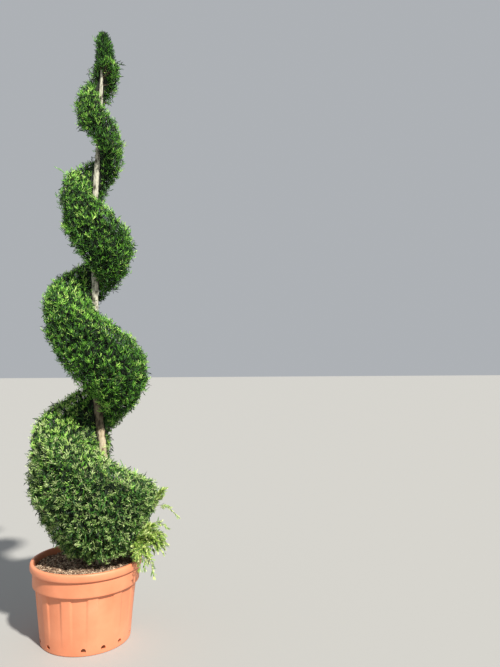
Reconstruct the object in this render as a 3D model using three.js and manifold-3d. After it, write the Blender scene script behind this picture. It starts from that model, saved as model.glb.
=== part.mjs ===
// A conifer clipped into a left-handed spiral round its bare trunk, growing in a round planter.
// Millimetres, +Z up. The origin is the middle of the planter's underside, and -Y is the front.
// Places round the trunk are in turns: 0 is the front, 0.25 the right, 0.5 the back, 0.75 the left.
// The clipped groove runs down round the trunk once a turn, so a turn count also gives its height.
import * as THREE from 'three';
import Module from 'manifold-3d';

const wasm = await Module();
wasm.setup();

// Driving dimensions of the planter
const TOUCH = 0.3; // air between two pieces that touch
const POT_HEIGHT = 430;
const RIM_RADIUS = 300;
const LIP_HEIGHT = 41; // rolled bead round the top
const COLLAR_FOOT = 307; // height of the step under the collar
const COLLAR_RADIUS = 286;
const BODY_RADIUS = 271; // just under the collar
const FOOT_RADIUS = 240;
const WALL = 8;
const FLUTES = 12; // raised ribs round the body
const FLUTE_DEPTH = 7; // under the collar, running out to nothing at the foot
const FLUTE_FOOT = 30;
const RIB_HALF_WIDTH = 5.5; // degrees
const FIRST_RIB = 7; // degrees right of the front
const DRAINS = 15; // places, of which every fifth has no drain
const DRAIN_GROUP = 5;
const FIRST_DRAIN = -3; // degrees right of the front
const DRAIN_WIDTH = 25;
const DRAIN_HEIGHT = 20;
const DRAIN_SILL = 22;
const SOIL_TOP = 400;
const SOIL_EDGE = 396;
const SOIL_LEVEL_RADIUS = 140; // level middle that the trunk stands on

// Driving dimensions of the trunk: [height, distance right of the planter's middle]
const TRUNK_LINE = [
  [400, 80], [980, 78], [1240, 50], [1600, 32], [1950, 22], [2450, 18], [2700, 31], [3060, 43], [3250, 50],
];
const TRUNK_TOP = 3250;
const TRUNK_FOOT_RADIUS = 24;
const TRUNK_TIP_RADIUS = 6;
const TRUNK_TAPER = 0.5;
const ROOT_FLARE = 20;
const FLARE_HEIGHT = 45;
const ROOT_RIDGE = 0.13; // how far the roots stand out, as a share of the trunk's radius
const GRAIN = 0.04; // and the twisted grain above them
const GRAIN_PITCH = 90;
const TRUNK_SIDES = 12;
const TRUNK_RINGS = 27;

// Driving dimensions of the clipped foliage
const CROWN_TOP = 3440;
const CROWN_TAPER = 0.648;
const WIDEST_HEIGHT = 805;
const WIDEST_RADIUS = 368;
const FOOT_HEIGHT = 400;
const FOLIAGE_FOOT_RADIUS = 146;
const FOOT_SWELL = 0.768;
const CROWN_AXIS = 39; // distance right of the planter's middle
const AXIS_AT_FOOT = 35; // more than that at the foot
const AXIS_AT_TOP = 34; // and at the top
const GROOVE_TOP = 3029; // height of the groove's line at turn 0, less its tilt
const GROOVE_FALL = 472; // fall in the first turn
const GROOVE_QUICKEN = 50;
const GROOVE_TILT = 20;
const GROOVE_START = -0.35;
const GROOVE_END = 3.6;
const FADE = [0.35, 0.3]; // turns that the groove takes to open and to close
const LOBE_PEAK = 0.345; // where a lobe is widest, as a share of its height from its top
const TOP_ROUND = [3.2, 3.03];
const BOTTOM_ROUND = [1.88, 1.74];
const LUMP_SIZE = 170; // unevenness left by the shears: from one swelling to the next
const LUMP_HEIGHT = 6;
// How the hand-cut form strays from the rule, by turn: the groove's line, and the size of a lobe
const GROOVE_SHIFT = [
  [0, -10], [0.5, -3], [1, 17], [1.5, 36], [2, 13], [2.5, 4], [3, 3], [3.5, 15],
];
const LOBE_SIZE = [
  [-0.25, 0.964], [0.25, 1.089], [0.75, 1.15], [1.25, 0.85], [1.75, 1.077],
  [2.25, 0.85], [2.75, 1.073], [3.25, 0.93], [3.75, 0.995], [4.25, 1.03],
];
// Open share of a turn under and over the groove's line: [turn, share]
const GAP_UNDER = [
  [0, 0.088], [0.5, 0.069], [1, 0.19], [1.5, 0.143], [2, 0.148], [2.5, 0.152], [3, 0.203], [3.5, 0.02],
];
const GAP_OVER = [
  [0, 0.414], [0.5, 0.298], [1, 0.36], [1.5, 0.147], [2, 0.075], [2.25, 0.258], [2.5, 0.321],
  [3, 0.111], [3.5, 0.368],
];
const MASS_ENDS = [GROOVE_START, 0.15, 0.65, 1.15, 1.65, 2.15, 2.65, 3.1, GROOVE_END, 4.1, GROOVE_END + 1];
const CORE_INSET = 20; // the sprays stand this far out of a core
const CORE_LEVELS = 9; // points down the outside of a core's slice
const CORE_PULL = 0.03; // share of a turn that a core's top and bottom draw back
const STATION_STEP = 1 / 24;
const CORE_TOP = 3242;
const CORE_FOOT = 462;
const TRUNK_CLEARANCE = 8;
const ENDS_APART = 1.5; // half the room between two masses end to end
const SHARE_APART = 0.008; // and between one turn and the next, as a share of a turn
const STEM_RADII = [4, 9]; // of the limb that carries a mass, at the top and at the foot
const STEM_SINK = 16; // into the core
const SPRAY_REACH = 12; // past the clipped surface, at most
const SPRAY_LENGTH = 84;
const SPRAY_WIDTH = 50;
const SPRAY_THICKNESS = 3;
const SPRAY_ROOT = 20; // sunk into the core
const SPRAY_SPACING = 88;
const SPRAY_TRIES = 1.6;
const SPREAD = [0.7548776662, 0.569840291]; // steps that spread places evenly over a square
const SPREAD_START = [0.37, 0.61];
// Room that a spray's points leave: turns from the mass's ends, and mm from its other edges
const ROOM = { ends: 0.004, lines: 2, soil: 5, rim: 28, trunk: 3 };
// The leader's tuft: [height, radius, distance right of the planter's middle]
const TIP_SHAPE = [
  [TRUNK_TOP + TOUCH, 54, 69], [3290, 52, 65], [3340, 45, 60], [3382, 35, 54], [3408, 15, 51],
];
const TIP_SIDES = 8;
const TIP_FOOT = TRUNK_TOP + 2; // its sprays stay above this
const TIP_SPRAYS = 26;
const TIP_SPRAY_TURN = 0.381966; // from one spray to the next
const TIP_ROOTS = [TRUNK_TOP + 8, CROWN_TOP - 62]; // heights of the lowest and the highest
const TIP_ROOT_RADII = [42, 4];
const TIP_LEAN = [0.5, 0.2];
const TIP_SPRAY_SIZE = [0.75, 0.65];

// Driving dimensions of the unclipped tuft: where its bough ends, and each shoot's tip and bend
const BOUGH_START_HEIGHT = 470;
const BOUGH_END = [270, -130, 540];
const BOUGH_RADII = [10, 6];
const BOUGH_SAG = 14;
const TUFT_SHOOTS = [
  [[414, -102, 796], [350, -92, 752]], [[396, -125, 764], [335, -108, 730]],
  [[488, -95, 640], [356, -88, 822]], [[428, -104, 586], [345, -98, 672]],
  [[414, -112, 516], [352, -104, 640]], [[396, -150, 548], [322, -140, 606]],
  [[414, -150, 510], [348, -150, 588]], [[404, -142, 492], [352, -145, 575]],
  [[372, -165, 500], [338, -160, 570]], [[360, -150, 606], [300, -142, 596]],
  [[345, -176, 556], [306, -166, 576]], [[330, -184, 456], [312, -170, 530]],
  [[300, -212, 406], [292, -190, 520]], [[258, -222, 474], [264, -200, 520]],
];
const TUFT_FORK = 16; // length of the bough's end that forks
const TUFT_SHOOT_RADII = [3, 1.2];
const TUFT_SPRAY_LENGTH = 50;
const TUFT_SPRAY_WIDTH = 26;
const TUFT_SPACING = 52;
const TUFT_CLEARANCE = 14; // past the clipped surface, at least
const SHOOT_ROOM = 4; // kept round each shoot where it runs through the base
const WAY_LENGTH = 90; // the way through the base that is left for the tuft's stem
const WAY_RADII = [20, 50];

const TURN = 2 * Math.PI;
const UP = new THREE.Vector3(0, 0, 1);
const clamp = (x, low, high) => Math.min(high, Math.max(low, x));
const mix = (a, b, s) => a + (b - a) * s;
const ease = (a, b, x) => {
  const s = clamp((x - a) / (b - a), 0, 1);
  return s * s * (3 - 2 * s);
};

// A repeatable stream of numbers from 0 to 1
function dice(seed) {
  let state = seed;
  return () => {
    state = (state + 0x6d2b79f5) | 0;
    let v = Math.imul(state ^ (state >>> 15), 1 | state);
    v = (v + Math.imul(v ^ (v >>> 7), 61 | v)) ^ v;
    return ((v ^ (v >>> 14)) >>> 0) / 4294967296;
  };
}

// A smooth curve through [place, value] pairs
function along(pairs, x) {
  const last = pairs.length - 1;
  if (x <= pairs[0][0]) return pairs[0][1];
  if (x >= pairs[last][0]) return pairs[last][1];
  let i = 0;
  while (pairs[i + 1][0] < x) i += 1;
  const slope = (k) => {
    const a = pairs[Math.max(k - 1, 0)];
    const b = pairs[Math.min(k + 1, last)];
    return (b[1] - a[1]) / (b[0] - a[0]);
  };
  const width = pairs[i + 1][0] - pairs[i][0];
  const s = (x - pairs[i][0]) / width;
  const ends = (1 + 2 * s) * (1 - s) ** 2 * pairs[i][1] + s * s * (3 - 2 * s) * pairs[i + 1][1];
  return ends + width * s * (1 - s) * ((1 - s) * slope(i) - s * slope(i + 1));
}

// Solids

// Stacked rings of points, counterclockwise seen from ahead. Each end is closed by a fan, or by the
// triangles of ring points given as caps, and the flipped side's faces are split the other way.
function ringSolid(rings, caps = null, flipped = -1) {
  const sides = rings[0].length;
  const points = rings.flat();
  const top = (rings.length - 1) * sides;
  const faces = [];
  for (let j = 0; j < sides; j += 1) {
    const k = (j + 1) % sides;
    for (let i = 0; i < top; i += sides) {
      const [a, b, c, d] = [i + j, i + k, i + sides + k, i + sides + j];
      faces.push(...(j === flipped ? [a, b, d, b, c, d] : [a, b, c, a, c, d]));
    }
  }
  if (caps) {
    caps.forEach(([a, b, c]) => faces.push(c, b, a, top + a, top + b, top + c));
    return solid(points, faces);
  }
  const middle = (ring) => ring.reduce((sum, p) => sum.add(p), new THREE.Vector3()).divideScalar(sides);
  points.push(middle(rings[0]), middle(rings[rings.length - 1]));
  const first = points.length - 2;
  for (let j = 0; j < sides; j += 1) {
    const k = (j + 1) % sides;
    faces.push(first, k, j, first + 1, top + j, top + k);
  }
  return solid(points, faces);
}

function solid(points, faces) {
  const vertProperties = new Float32Array(points.flatMap((p) => [p.x, p.y, p.z]));
  const triVerts = new Uint32Array(faces);
  return new wasm.Manifold(new wasm.Mesh({ numProp: 3, vertProperties, triVerts }));
}

// The largest piece of a solid, without the scraps that a cut leaves
function largest(body) {
  return body.decompose().reduce((best, piece) => (piece.volume() > best.volume() ? piece : best));
}

function toMesh(name, body, look) {
  const made = body.getMesh();
  const geometry = new THREE.BufferGeometry();
  geometry.setAttribute('position', new THREE.Float32BufferAttribute(made.vertProperties, 3));
  geometry.setIndex([...made.triVerts]);
  geometry.computeVertexNormals();
  const mesh = new THREE.Mesh(geometry, new THREE.MeshStandardMaterial(look));
  mesh.name = name;
  return mesh;
}

// Planter and soil

// Ribs have four columns each: two at the raised edges and two just beside them
const RIB_PITCH = 360 / FLUTES;
const RIB_COLUMNS = [-RIB_HALF_WIDTH - 1.5, -RIB_HALF_WIDTH, RIB_HALF_WIDTH, RIB_HALF_WIDTH + 1.5];

function potRing(height, radius, depth = 0) {
  const ring = [];
  for (let rib = 0; rib < FLUTES; rib += 1) {
    RIB_COLUMNS.forEach((offset, column) => {
      const a = THREE.MathUtils.degToRad(FIRST_RIB + rib * RIB_PITCH + offset);
      const r = radius - (column === 0 || column === 3 ? depth : 0);
      ring.push(new THREE.Vector3(r * Math.sin(a), -r * Math.cos(a), height));
    });
  }
  return ring;
}

const bodyRadius = (height) => mix(FOOT_RADIUS, BODY_RADIUS, height / COLLAR_FOOT);
const LIP_FOOT = POT_HEIGHT - LIP_HEIGHT;
const INNER_WALL = [
  [POT_HEIGHT - 6, RIM_RADIUS - 21],
  [COLLAR_FOOT + 6, COLLAR_RADIUS - WALL - 6],
  [COLLAR_FOOT - 8, BODY_RADIUS - FLUTE_DEPTH - WALL],
  [WALL, FOOT_RADIUS - WALL - 2],
];

// The space of a drain at the front: an arch, running out through the wall
function drain() {
  const half = DRAIN_WIDTH / 2;
  const arch = [[half, 0], [half, 0.55], [0.6 * half, 0.9], [0, 1], [-0.6 * half, 0.9], [-half, 0.55], [-half, 0]];
  return ringSolid([-2 * WALL, 2 * WALL].map((out) => arch.map(([x, rise]) => (
    new THREE.Vector3(x, -FOOT_RADIUS - out, DRAIN_SILL + rise * DRAIN_HEIGHT)
  ))));
}

function pot() {
  const under = COLLAR_FOOT - 2;
  const outside = [
    [0, FOOT_RADIUS - 3],
    [3, bodyRadius(3)],
    [FLUTE_FOOT, bodyRadius(FLUTE_FOOT)],
    [under, bodyRadius(under), FLUTE_DEPTH],
    [COLLAR_FOOT, COLLAR_RADIUS - 6],
    [LIP_FOOT, COLLAR_RADIUS],
    [LIP_FOOT + 3, RIM_RADIUS - 5],
    [LIP_FOOT + 10, RIM_RADIUS],
    [POT_HEIGHT - 12, RIM_RADIUS],
    [POT_HEIGHT - 3, RIM_RADIUS - 4],
    [POT_HEIGHT, RIM_RADIUS - 11],
    [POT_HEIGHT - 1, RIM_RADIUS - 18],
  ];
  let body = ringSolid([...outside, ...INNER_WALL].map((ring) => potRing(...ring)));
  const notch = drain();
  for (let i = 0; i < DRAINS; i += 1) {
    const turned = notch.rotate([0, 0, FIRST_DRAIN + (360 * i) / DRAINS]);
    if (i % DRAIN_GROUP < DRAIN_GROUP - 1) body = body.subtract(turned);
  }
  return body;
}

function soil() {
  const fit = 2 * TOUCH;
  const [lip, collar, body, floor] = INNER_WALL;
  const edge = mix(collar[1], lip[1], (SOIL_EDGE - collar[0]) / (lip[0] - collar[0]));
  return ringSolid([
    potRing(floor[0] + TOUCH, floor[1] - fit),
    potRing(body[0], body[1] - fit),
    potRing(collar[0], collar[1] - fit),
    potRing(SOIL_EDGE, edge - fit),
    potRing(mix(SOIL_EDGE, SOIL_TOP, 0.75), mix(edge, SOIL_LEVEL_RADIUS, 0.6)),
    potRing(SOIL_TOP, SOIL_LEVEL_RADIUS),
  ]);
}

// Trunk

const trunkX = (height) => along(TRUNK_LINE, height);

function trunkRadius(height) {
  const left = clamp((TRUNK_TOP - height) / (TRUNK_TOP - SOIL_TOP), 0, 1);
  const flare = ROOT_FLARE * Math.exp((SOIL_TOP - height) / FLARE_HEIGHT);
  return mix(TRUNK_TIP_RADIUS, TRUNK_FOOT_RADIUS, left ** TRUNK_TAPER) + flare;
}

// The trunk's solid, or with extra the space to be kept clear of it
function trunk(extra = 0) {
  const rings = [];
  const foot = SOIL_TOP + TOUCH;
  for (let i = 0; i <= TRUNK_RINGS; i += 1) {
    const height = mix(foot, TRUNK_TOP, (i / TRUNK_RINGS) ** 1.25);
    const stretch = i === 0 ? -extra : (i === TRUNK_RINGS ? extra : 0);
    const roots = ROOT_RIDGE * Math.exp((foot - height) / FLARE_HEIGHT);
    const ring = [];
    for (let j = 0; j < TRUNK_SIDES; j += 1) {
      const a = (TURN * j) / TRUNK_SIDES;
      const grain = 1 + roots * Math.cos(4 * a + 1) + GRAIN * Math.sin(3 * a + height / GRAIN_PITCH);
      const r = trunkRadius(height) * grain + extra;
      ring.push(new THREE.Vector3(trunkX(height) + r * Math.cos(a), r * Math.sin(a), height + stretch));
    }
    rings.push(ring);
  }
  return ringSolid(rings);
}

// A tapering limb along a curve, as rings square to it
function limb(curve, radii, sides, steps) {
  const rings = [];
  for (let i = 0; i <= steps; i += 1) {
    const ahead = curve.getTangentAt(i / steps);
    const across = new THREE.Vector3().crossVectors(UP, ahead).normalize();
    const over = new THREE.Vector3().crossVectors(ahead, across);
    const r = mix(radii[0], radii[1], i / steps);
    const ring = [];
    for (let j = 0; j < sides; j += 1) {
      const a = (TURN * j) / sides;
      const point = curve.getPointAt(i / steps);
      ring.push(point.addScaledVector(across, r * Math.cos(a)).addScaledVector(over, r * Math.sin(a)));
    }
    rings.push(ring);
  }
  return ringSolid(rings);
}

// The clipped form

const grooveHeight = (turn) => GROOVE_TOP - GROOVE_FALL * turn - GROOVE_QUICKEN * turn * turn
  + GROOVE_TILT * Math.cos(TURN * turn) + along(GROOVE_SHIFT, turn);
const grooveDepth = (turn) => ease(GROOVE_START, GROOVE_START + FADE[0], turn)
  * (1 - ease(GROOVE_END - FADE[1], GROOVE_END, turn));

// The turn at which the groove's line passes a height
function grooveTurn(height) {
  let early = GROOVE_START - 1;
  let late = GROOVE_END + 1.5;
  for (let i = 0; i < 30; i += 1) {
    const middle = (early + late) / 2;
    if (grooveHeight(middle) > height) early = middle;
    else late = middle;
  }
  return early;
}

function crownRadius(height) {
  const span = CROWN_TOP - WIDEST_HEIGHT;
  const over = WIDEST_RADIUS * (Math.max(CROWN_TOP - height, 1) / span) ** CROWN_TAPER;
  const rise = Math.max(height - FOOT_HEIGHT, 0) / (WIDEST_HEIGHT - FOOT_HEIGHT);
  const under = mix(FOLIAGE_FOOT_RADIUS, WIDEST_RADIUS, rise ** FOOT_SWELL);
  return (over ** -14 + under ** -14) ** (-1 / 14);
}

const crownX = (height) => CROWN_AXIS + AXIS_AT_FOOT * (1 - ease(400, 850, height))
  + AXIS_AT_TOP * ease(2950, 3300, height);

// How far a lobe has swelled out of its groove, at a share of its height from its top
function swell(turn, share) {
  const rise = (from, gap, peak, [round, lift]) => {
    const open = 1 - clamp((from - gap) / (peak - gap), 0, 1);
    return (1 - open ** round) ** (1 / lift);
  };
  if (share < LOBE_PEAK) {
    const gap = along(GAP_UNDER, turn - 1);
    return 1 - grooveDepth(turn - 1) * (1 - rise(share, gap, LOBE_PEAK, TOP_ROUND));
  }
  const gap = along(GAP_OVER, turn);
  return 1 - grooveDepth(turn) * (1 - rise(1 - share, gap, 1 - LOBE_PEAK, BOTTOM_ROUND));
}

const place = (turn, distance, height) => new THREE.Vector3(
  trunkX(height) + distance * Math.sin(TURN * turn),
  -distance * Math.cos(TURN * turn),
  height,
);

// The shears' unevenness at a point of the full form
function lump(point) {
  const [x, y, z] = point.toArray().map((v) => (TURN * v) / LUMP_SIZE);
  return LUMP_HEIGHT * (Math.sin(x) * Math.cos(y) + Math.sin(y) * Math.cos(z) + Math.sin(z) * Math.cos(x));
}

// Distance from the trunk's line to the clipped surface, over the groove of the given turn
function reach(turn, height) {
  const radius = crownRadius(height) * along(LOBE_SIZE, turn);
  const aside = crownX(height) - trunkX(height);
  const outward = aside * Math.sin(TURN * turn);
  const full = outward + Math.sqrt(Math.max(radius * radius - aside * aside + outward * outward, 1));
  const uneven = lump(place(turn, full, height)) * clamp(full / 200, 0.3, 1);
  const share = clamp(grooveTurn(height) - (turn - 1), 0, 1);
  return mix(trunkRadius(height), full + uneven, swell(turn, share));
}

// The shares of a lobe's height at which it starts and ends, over the groove of the given turn
function lobeEnds(turn) {
  const top = turn - 1 < GROOVE_START
    ? grooveTurn(CORE_TOP) - (turn - 1)
    : grooveDepth(turn - 1) * along(GAP_UNDER, turn - 1) + SHARE_APART;
  const bottom = turn > GROOVE_END
    ? grooveTurn(CORE_FOOT) - (turn - 1)
    : 1 - grooveDepth(turn) * along(GAP_OVER, turn) - SHARE_APART;
  return [top, bottom];
}

// One slice of a core, as [distance, height]: down round its outside, then up its inside
function coreSlice(turn) {
  const [top, bottom] = lobeEnds(turn);
  const topPull = turn - 1 < GROOVE_START ? 0 : CORE_PULL * grooveDepth(turn - 1);
  const bottomPull = turn > GROOVE_END ? 0 : CORE_PULL * grooveDepth(turn);
  const outside = [];
  for (let i = 0; i < CORE_LEVELS; i += 1) {
    const s = (1 - Math.cos((Math.PI * i) / (CORE_LEVELS - 1))) / 2;
    const height = grooveHeight(turn - 1 + mix(top + topPull, bottom - bottomPull, s));
    const surface = reach(turn, grooveHeight(turn - 1 + mix(top, bottom, s)));
    const core = surface - Math.min(CORE_INSET, 0.2 * surface);
    outside.push([Math.max(core, insideRadius(height) + 4), height]);
  }
  const inside = outside.filter((point, i) => i % 2 === 0).map(([, height]) => [insideRadius(height), height]);
  return [...outside, ...inside.reverse()];
}

const insideRadius = (height) => trunkRadius(height) + TRUNK_CLEARANCE;

// A slice's triangles, between rungs from the inside to the outside
const SLICE_FACES = [];
for (let rung = 0; rung < (CORE_LEVELS - 1) / 2; rung += 1) {
  const outer = 2 * rung;
  const inner = CORE_LEVELS + (CORE_LEVELS - 1) / 2 - rung;
  SLICE_FACES.push([inner, outer, outer + 1], [inner, outer + 1, inner - 1], [inner - 1, outer + 1, outer + 2]);
}

// The dense inner part of a mass, between two turns
function core(from, to) {
  const steps = Math.ceil((to - from) / STATION_STEP);
  const rings = [];
  for (let i = 0; i <= steps; i += 1) {
    const turn = mix(from, to, i / steps);
    const apart = i === 0 ? ENDS_APART : (i === steps ? -ENDS_APART : 0);
    const slice = coreSlice(turn + Math.sign(apart) * 1e-4);
    rings.push(slice.map(([distance, height]) => place(turn + apart / (TURN * distance), distance, height)));
  }
  return ringSolid(rings, SLICE_FACES, CORE_LEVELS - 1);
}

// Sprays

// A flat spray's outline: [share of its length, share of its width], round from its root
const SPRAY_OUTLINE = [
  [0, 0], [0.4, -0.5], [0.5, -0.2], [0.74, -0.34], [0.78, -0.12], [1, 0], [0.62, 0.2], [0.55, 0.5],
];

function spray(root, ahead, across, length, width, thickness = SPRAY_THICKNESS) {
  const over = new THREE.Vector3().crossVectors(ahead, across).normalize();
  const at = (u, v, w) => root.clone().addScaledVector(ahead, u * length)
    .addScaledVector(across, v * width).addScaledVector(over, w * thickness);
  const points = SPRAY_OUTLINE.map(([u, v]) => at(u, v, 0));
  const sides = points.length;
  points.push(at(0.5, 0, 0.5), at(0.5, 0, -0.5));
  const faces = [];
  for (let j = 0; j < sides; j += 1) {
    const k = (j + 1) % sides;
    faces.push(sides, j, k, sides + 1, k, j);
  }
  return { points, body: () => solid(points, faces) };
}

// The turn of the first groove line under a point, and the point's distance from the trunk's line
function whereIs(point) {
  const dx = point.x - trunkX(point.z);
  const angle = (Math.atan2(dx, -point.y) / TURN + 1) % 1;
  let turn = angle > GROOVE_START + 1 ? angle - 1 : angle;
  while (turn <= GROOVE_END && grooveHeight(turn) > point.z) turn += 1;
  return { turn, distance: Math.hypot(dx, point.y) };
}

// Whether a spray's point keeps to the space of the mass between two turns
function keepsTo(point, from, to) {
  const { turn, distance } = whereIs(point);
  if (turn < from + ROOM.ends || turn > to - ROOM.ends) return false;
  if (point.z < SOIL_TOP + ROOM.soil || point.z > TRUNK_TOP) return false;
  if (turn - 1 > GROOVE_START && grooveHeight(turn - 1) - point.z < ROOM.lines) return false;
  if (turn < GROOVE_END && point.z - grooveHeight(turn) < ROOM.lines) return false;
  if (point.z < POT_HEIGHT + 8 && Math.hypot(point.x, point.y) > RIM_RADIUS - ROOM.rim) return false;
  const widest = Math.max(...[-14, 0, 14].map((rise) => reach(turn, point.z + rise)));
  return distance > trunkRadius(point.z) + ROOM.trunk && distance < widest + SPRAY_REACH;
}

// A point on a slice's outside at a share of its length, with the outward direction there
function onSlice(turn, share) {
  const outside = coreSlice(turn).slice(0, CORE_LEVELS).map(([r, z]) => new THREE.Vector2(r, z));
  const lengths = outside.slice(1).map((p, i) => p.distanceTo(outside[i]));
  const total = lengths.reduce((sum, length) => sum + length, 0);
  let left = share * total;
  let i = 0;
  while (i < lengths.length - 1 && left > lengths[i]) {
    left -= lengths[i];
    i += 1;
  }
  const spot = outside[i].clone().lerp(outside[i + 1], left / lengths[i]);
  const run = outside[i + 1].clone().sub(outside[i]).normalize();
  return { spot, out: new THREE.Vector2(-run.y, run.x), total };
}

// Sprays spread evenly over a core's outside, lying up and out along it, clear of the other masses
function sprays(from, to, seed, others) {
  const random = dice(seed);
  const made = [];
  const middle = onSlice((from + to) / 2, 0.5);
  const area = TURN * (to - from) * middle.spot.x * middle.total;
  const tries = Math.round((SPRAY_TRIES * area) / SPRAY_SPACING ** 2);
  for (let i = 1; i <= tries; i += 1) {
    const [u, v] = SPREAD.map((step, k) => (seed * SPREAD_START[k] + i * step) % 1);
    const turn = mix(from, to, u);
    const { spot, out } = onSlice(turn, v);
    const chance = random();
    const outward = place(turn, 1, spot.y).sub(place(turn, 0, spot.y));
    const normal = outward.clone().multiplyScalar(out.x).addScaledVector(UP, out.y).normalize();
    const uphill = UP.clone().addScaledVector(outward, 0.4).projectOnPlane(normal).normalize();
    const shake = new THREE.Vector3(random() - 0.5, random() - 0.5, random() - 0.5);
    const lean = uphill.multiplyScalar(0.85).addScaledVector(normal, 0.42);
    const ahead = lean.addScaledVector(shake, 0.6).normalize();
    const across = new THREE.Vector3().crossVectors(ahead, normal).normalize();
    across.applyAxisAngle(ahead, (random() - 0.5) * 2);
    const size = mix(0.85, 1.1, random()) * clamp(spot.x / 110, 0.5, 1);
    if (SPRAY_TRIES * chance > spot.x / middle.spot.x) continue;
    const root = place(turn, spot.x, spot.y).addScaledVector(ahead, -SPRAY_ROOT);
    const [length, width] = [SPRAY_LENGTH * size, SPRAY_WIDTH * size];
    const blade = spray(root, ahead, across, length, width);
    if (!blade.points.every((p, j) => j === 0 || keepsTo(p, from, to))) continue;
    const room = spray(root, ahead, across, length + 3, width + 5, SPRAY_THICKNESS + 2).body();
    if (others.every((other) => room.intersect(other).isEmpty())) made.push(blade.body());
  }
  return made;
}

// The limb that carries a mass, from inside the trunk's line to inside the core
function stem(from, to) {
  const turn = (from + to) / 2;
  const slice = coreSlice(turn);
  const height = (slice[0][1] + slice[CORE_LEVELS - 1][1]) / 2;
  const radius = mix(...STEM_RADII, (TRUNK_TOP - height) / (TRUNK_TOP - SOIL_TOP));
  const curve = new THREE.LineCurve3(
    place(turn, 0.5 * trunkRadius(height), height - 0.6 * trunkRadius(height)),
    place(turn, insideRadius(height) + STEM_SINK, height + 6),
  );
  return limb(curve, [radius, 0.8 * radius], 6, 1);
}

const join = (bodies) => bodies.reduce((all, body) => all.add(body));

// The leader's tuft, seated on the trunk's end
function crownTip() {
  const random = dice(5);
  const centre = (height) => along(TIP_SHAPE.map(([z, , x]) => [z, x]), height);
  const spot = (turn, radius, height) => new THREE.Vector3(
    centre(height) + radius * Math.sin(TURN * turn),
    -radius * Math.cos(TURN * turn),
    height,
  );
  const rings = TIP_SHAPE.map(([height, radius]) => {
    const ring = [];
    for (let j = 0; j < TIP_SIDES; j += 1) ring.push(spot(j / TIP_SIDES, radius, height));
    return ring;
  });
  const pieces = [ringSolid(rings)];
  for (let i = 0; i < TIP_SPRAYS; i += 1) {
    const turn = i * TIP_SPRAY_TURN;
    const rise = i / (TIP_SPRAYS - 1);
    const height = mix(...TIP_ROOTS, rise);
    const outward = spot(turn, 1, height).sub(spot(turn, 0, height));
    const ahead = outward.clone().multiplyScalar(mix(...TIP_LEAN, rise)).add(UP).normalize();
    const across = new THREE.Vector3().crossVectors(UP, outward).normalize();
    const length = SPRAY_LENGTH * mix(...TIP_SPRAY_SIZE, rise);
    const root = spot(turn, mix(...TIP_ROOT_RADII, rise ** 2), height);
    across.applyAxisAngle(ahead, random() - 0.5);
    const blade = spray(root, ahead, across, length, 0.36 * length);
    if (blade.points.every((p) => p.z > TIP_FOOT)) pieces.push(blade.body());
  }
  return join(pieces);
}

// The low bough and the tuft that was left unclipped

function boughCurve() {
  const start = new THREE.Vector3(trunkX(BOUGH_START_HEIGHT), 0, BOUGH_START_HEIGHT);
  const end = new THREE.Vector3(...BOUGH_END);
  const bend = start.clone().lerp(end, 0.5).addScaledVector(UP, -BOUGH_SAG);
  return new THREE.QuadraticBezierCurve3(start, bend, end);
}

// The curves of the tuft's shoots, from the fork at the bough's end
function shootCurves() {
  const curve = boughCurve();
  const ahead = curve.getTangentAt(1);
  const root = curve.getPointAt(1).addScaledVector(ahead, 0.6 * TUFT_FORK);
  return TUFT_SHOOTS.map(([tip, bend]) => (
    new THREE.QuadraticBezierCurve3(root, new THREE.Vector3(...bend), new THREE.Vector3(...tip))
  ));
}

function tuft(clear) {
  const random = dice(77);
  const curve = boughCurve();
  const ahead = curve.getTangentAt(1);
  const start = curve.getPointAt(1).addScaledVector(ahead, TOUCH);
  const fork = start.clone().addScaledVector(ahead, TUFT_FORK);
  const pieces = [limb(new THREE.LineCurve3(start, fork), [BOUGH_RADII[1], BOUGH_RADII[1] - 1], 6, 1)];
  shootCurves().forEach((shoot) => {
    pieces.push(limb(shoot, TUFT_SHOOT_RADII, 3, 5));
    const count = Math.round(shoot.getLength() / TUFT_SPACING);
    for (let i = 1; i <= count; i += 1) {
      const s = mix(0.3, 0.97, i / count);
      const side = i % 2 ? 1 : -1;
      const run = shoot.getTangentAt(s);
      const out = new THREE.Vector3().crossVectors(run, UP).normalize().multiplyScalar(side);
      const droop = mix(-0.1, -0.7, random());
      const lean = run.clone().multiplyScalar(0.8).addScaledVector(out, mix(0.4, 0.9, random()));
      const blade = lean.addScaledVector(UP, droop).normalize();
      const across = new THREE.Vector3().crossVectors(blade, UP).applyAxisAngle(blade, random() - 0.5);
      const size = mix(0.75, 1.1, random()) * mix(1.1, 0.8, s);
      const grown = spray(shoot.getPointAt(s).addScaledVector(blade, -4), blade, across.normalize(),
        TUFT_SPRAY_LENGTH * size, TUFT_SPRAY_WIDTH * size);
      if (grown.points.every((p, j) => j === 0 || clear(p))) pieces.push(grown.body());
    }
  });
  return join(pieces);
}

// Whether a point lies outside the clipped form and clear of the planter
function outsideForm(point) {
  const { turn, distance } = whereIs(point);
  if (point.z < POT_HEIGHT + 6 && Math.hypot(point.x, point.y) < RIM_RADIUS + 5) return false;
  return distance > reach(turn, point.z) + TUFT_CLEARANCE;
}

// Assembly

const FOLIAGE_LOOK = { color: 0x2f6a2c, roughness: 0.75, metalness: 0 };
const plant = new THREE.Group();
plant.add(toMesh('pot', pot(), { color: 0xd9794c, roughness: 0.5, metalness: 0 }));
plant.add(toMesh('soil', soil(), { color: 0x4a3626, roughness: 0.95, metalness: 0 }));
plant.add(toMesh('trunk', trunk(), { color: 0xb79a78, roughness: 0.85, metalness: 0 }));

const trunkSpace = trunk(TOUCH);
const boughLine = boughCurve();
const bough = limb(boughLine, BOUGH_RADII, 8, 4).subtract(trunkSpace);
plant.add(toMesh('bough_low_right', largest(bough), { color: 0x9a7c5c, roughness: 0.85, metalness: 0 }));

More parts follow.
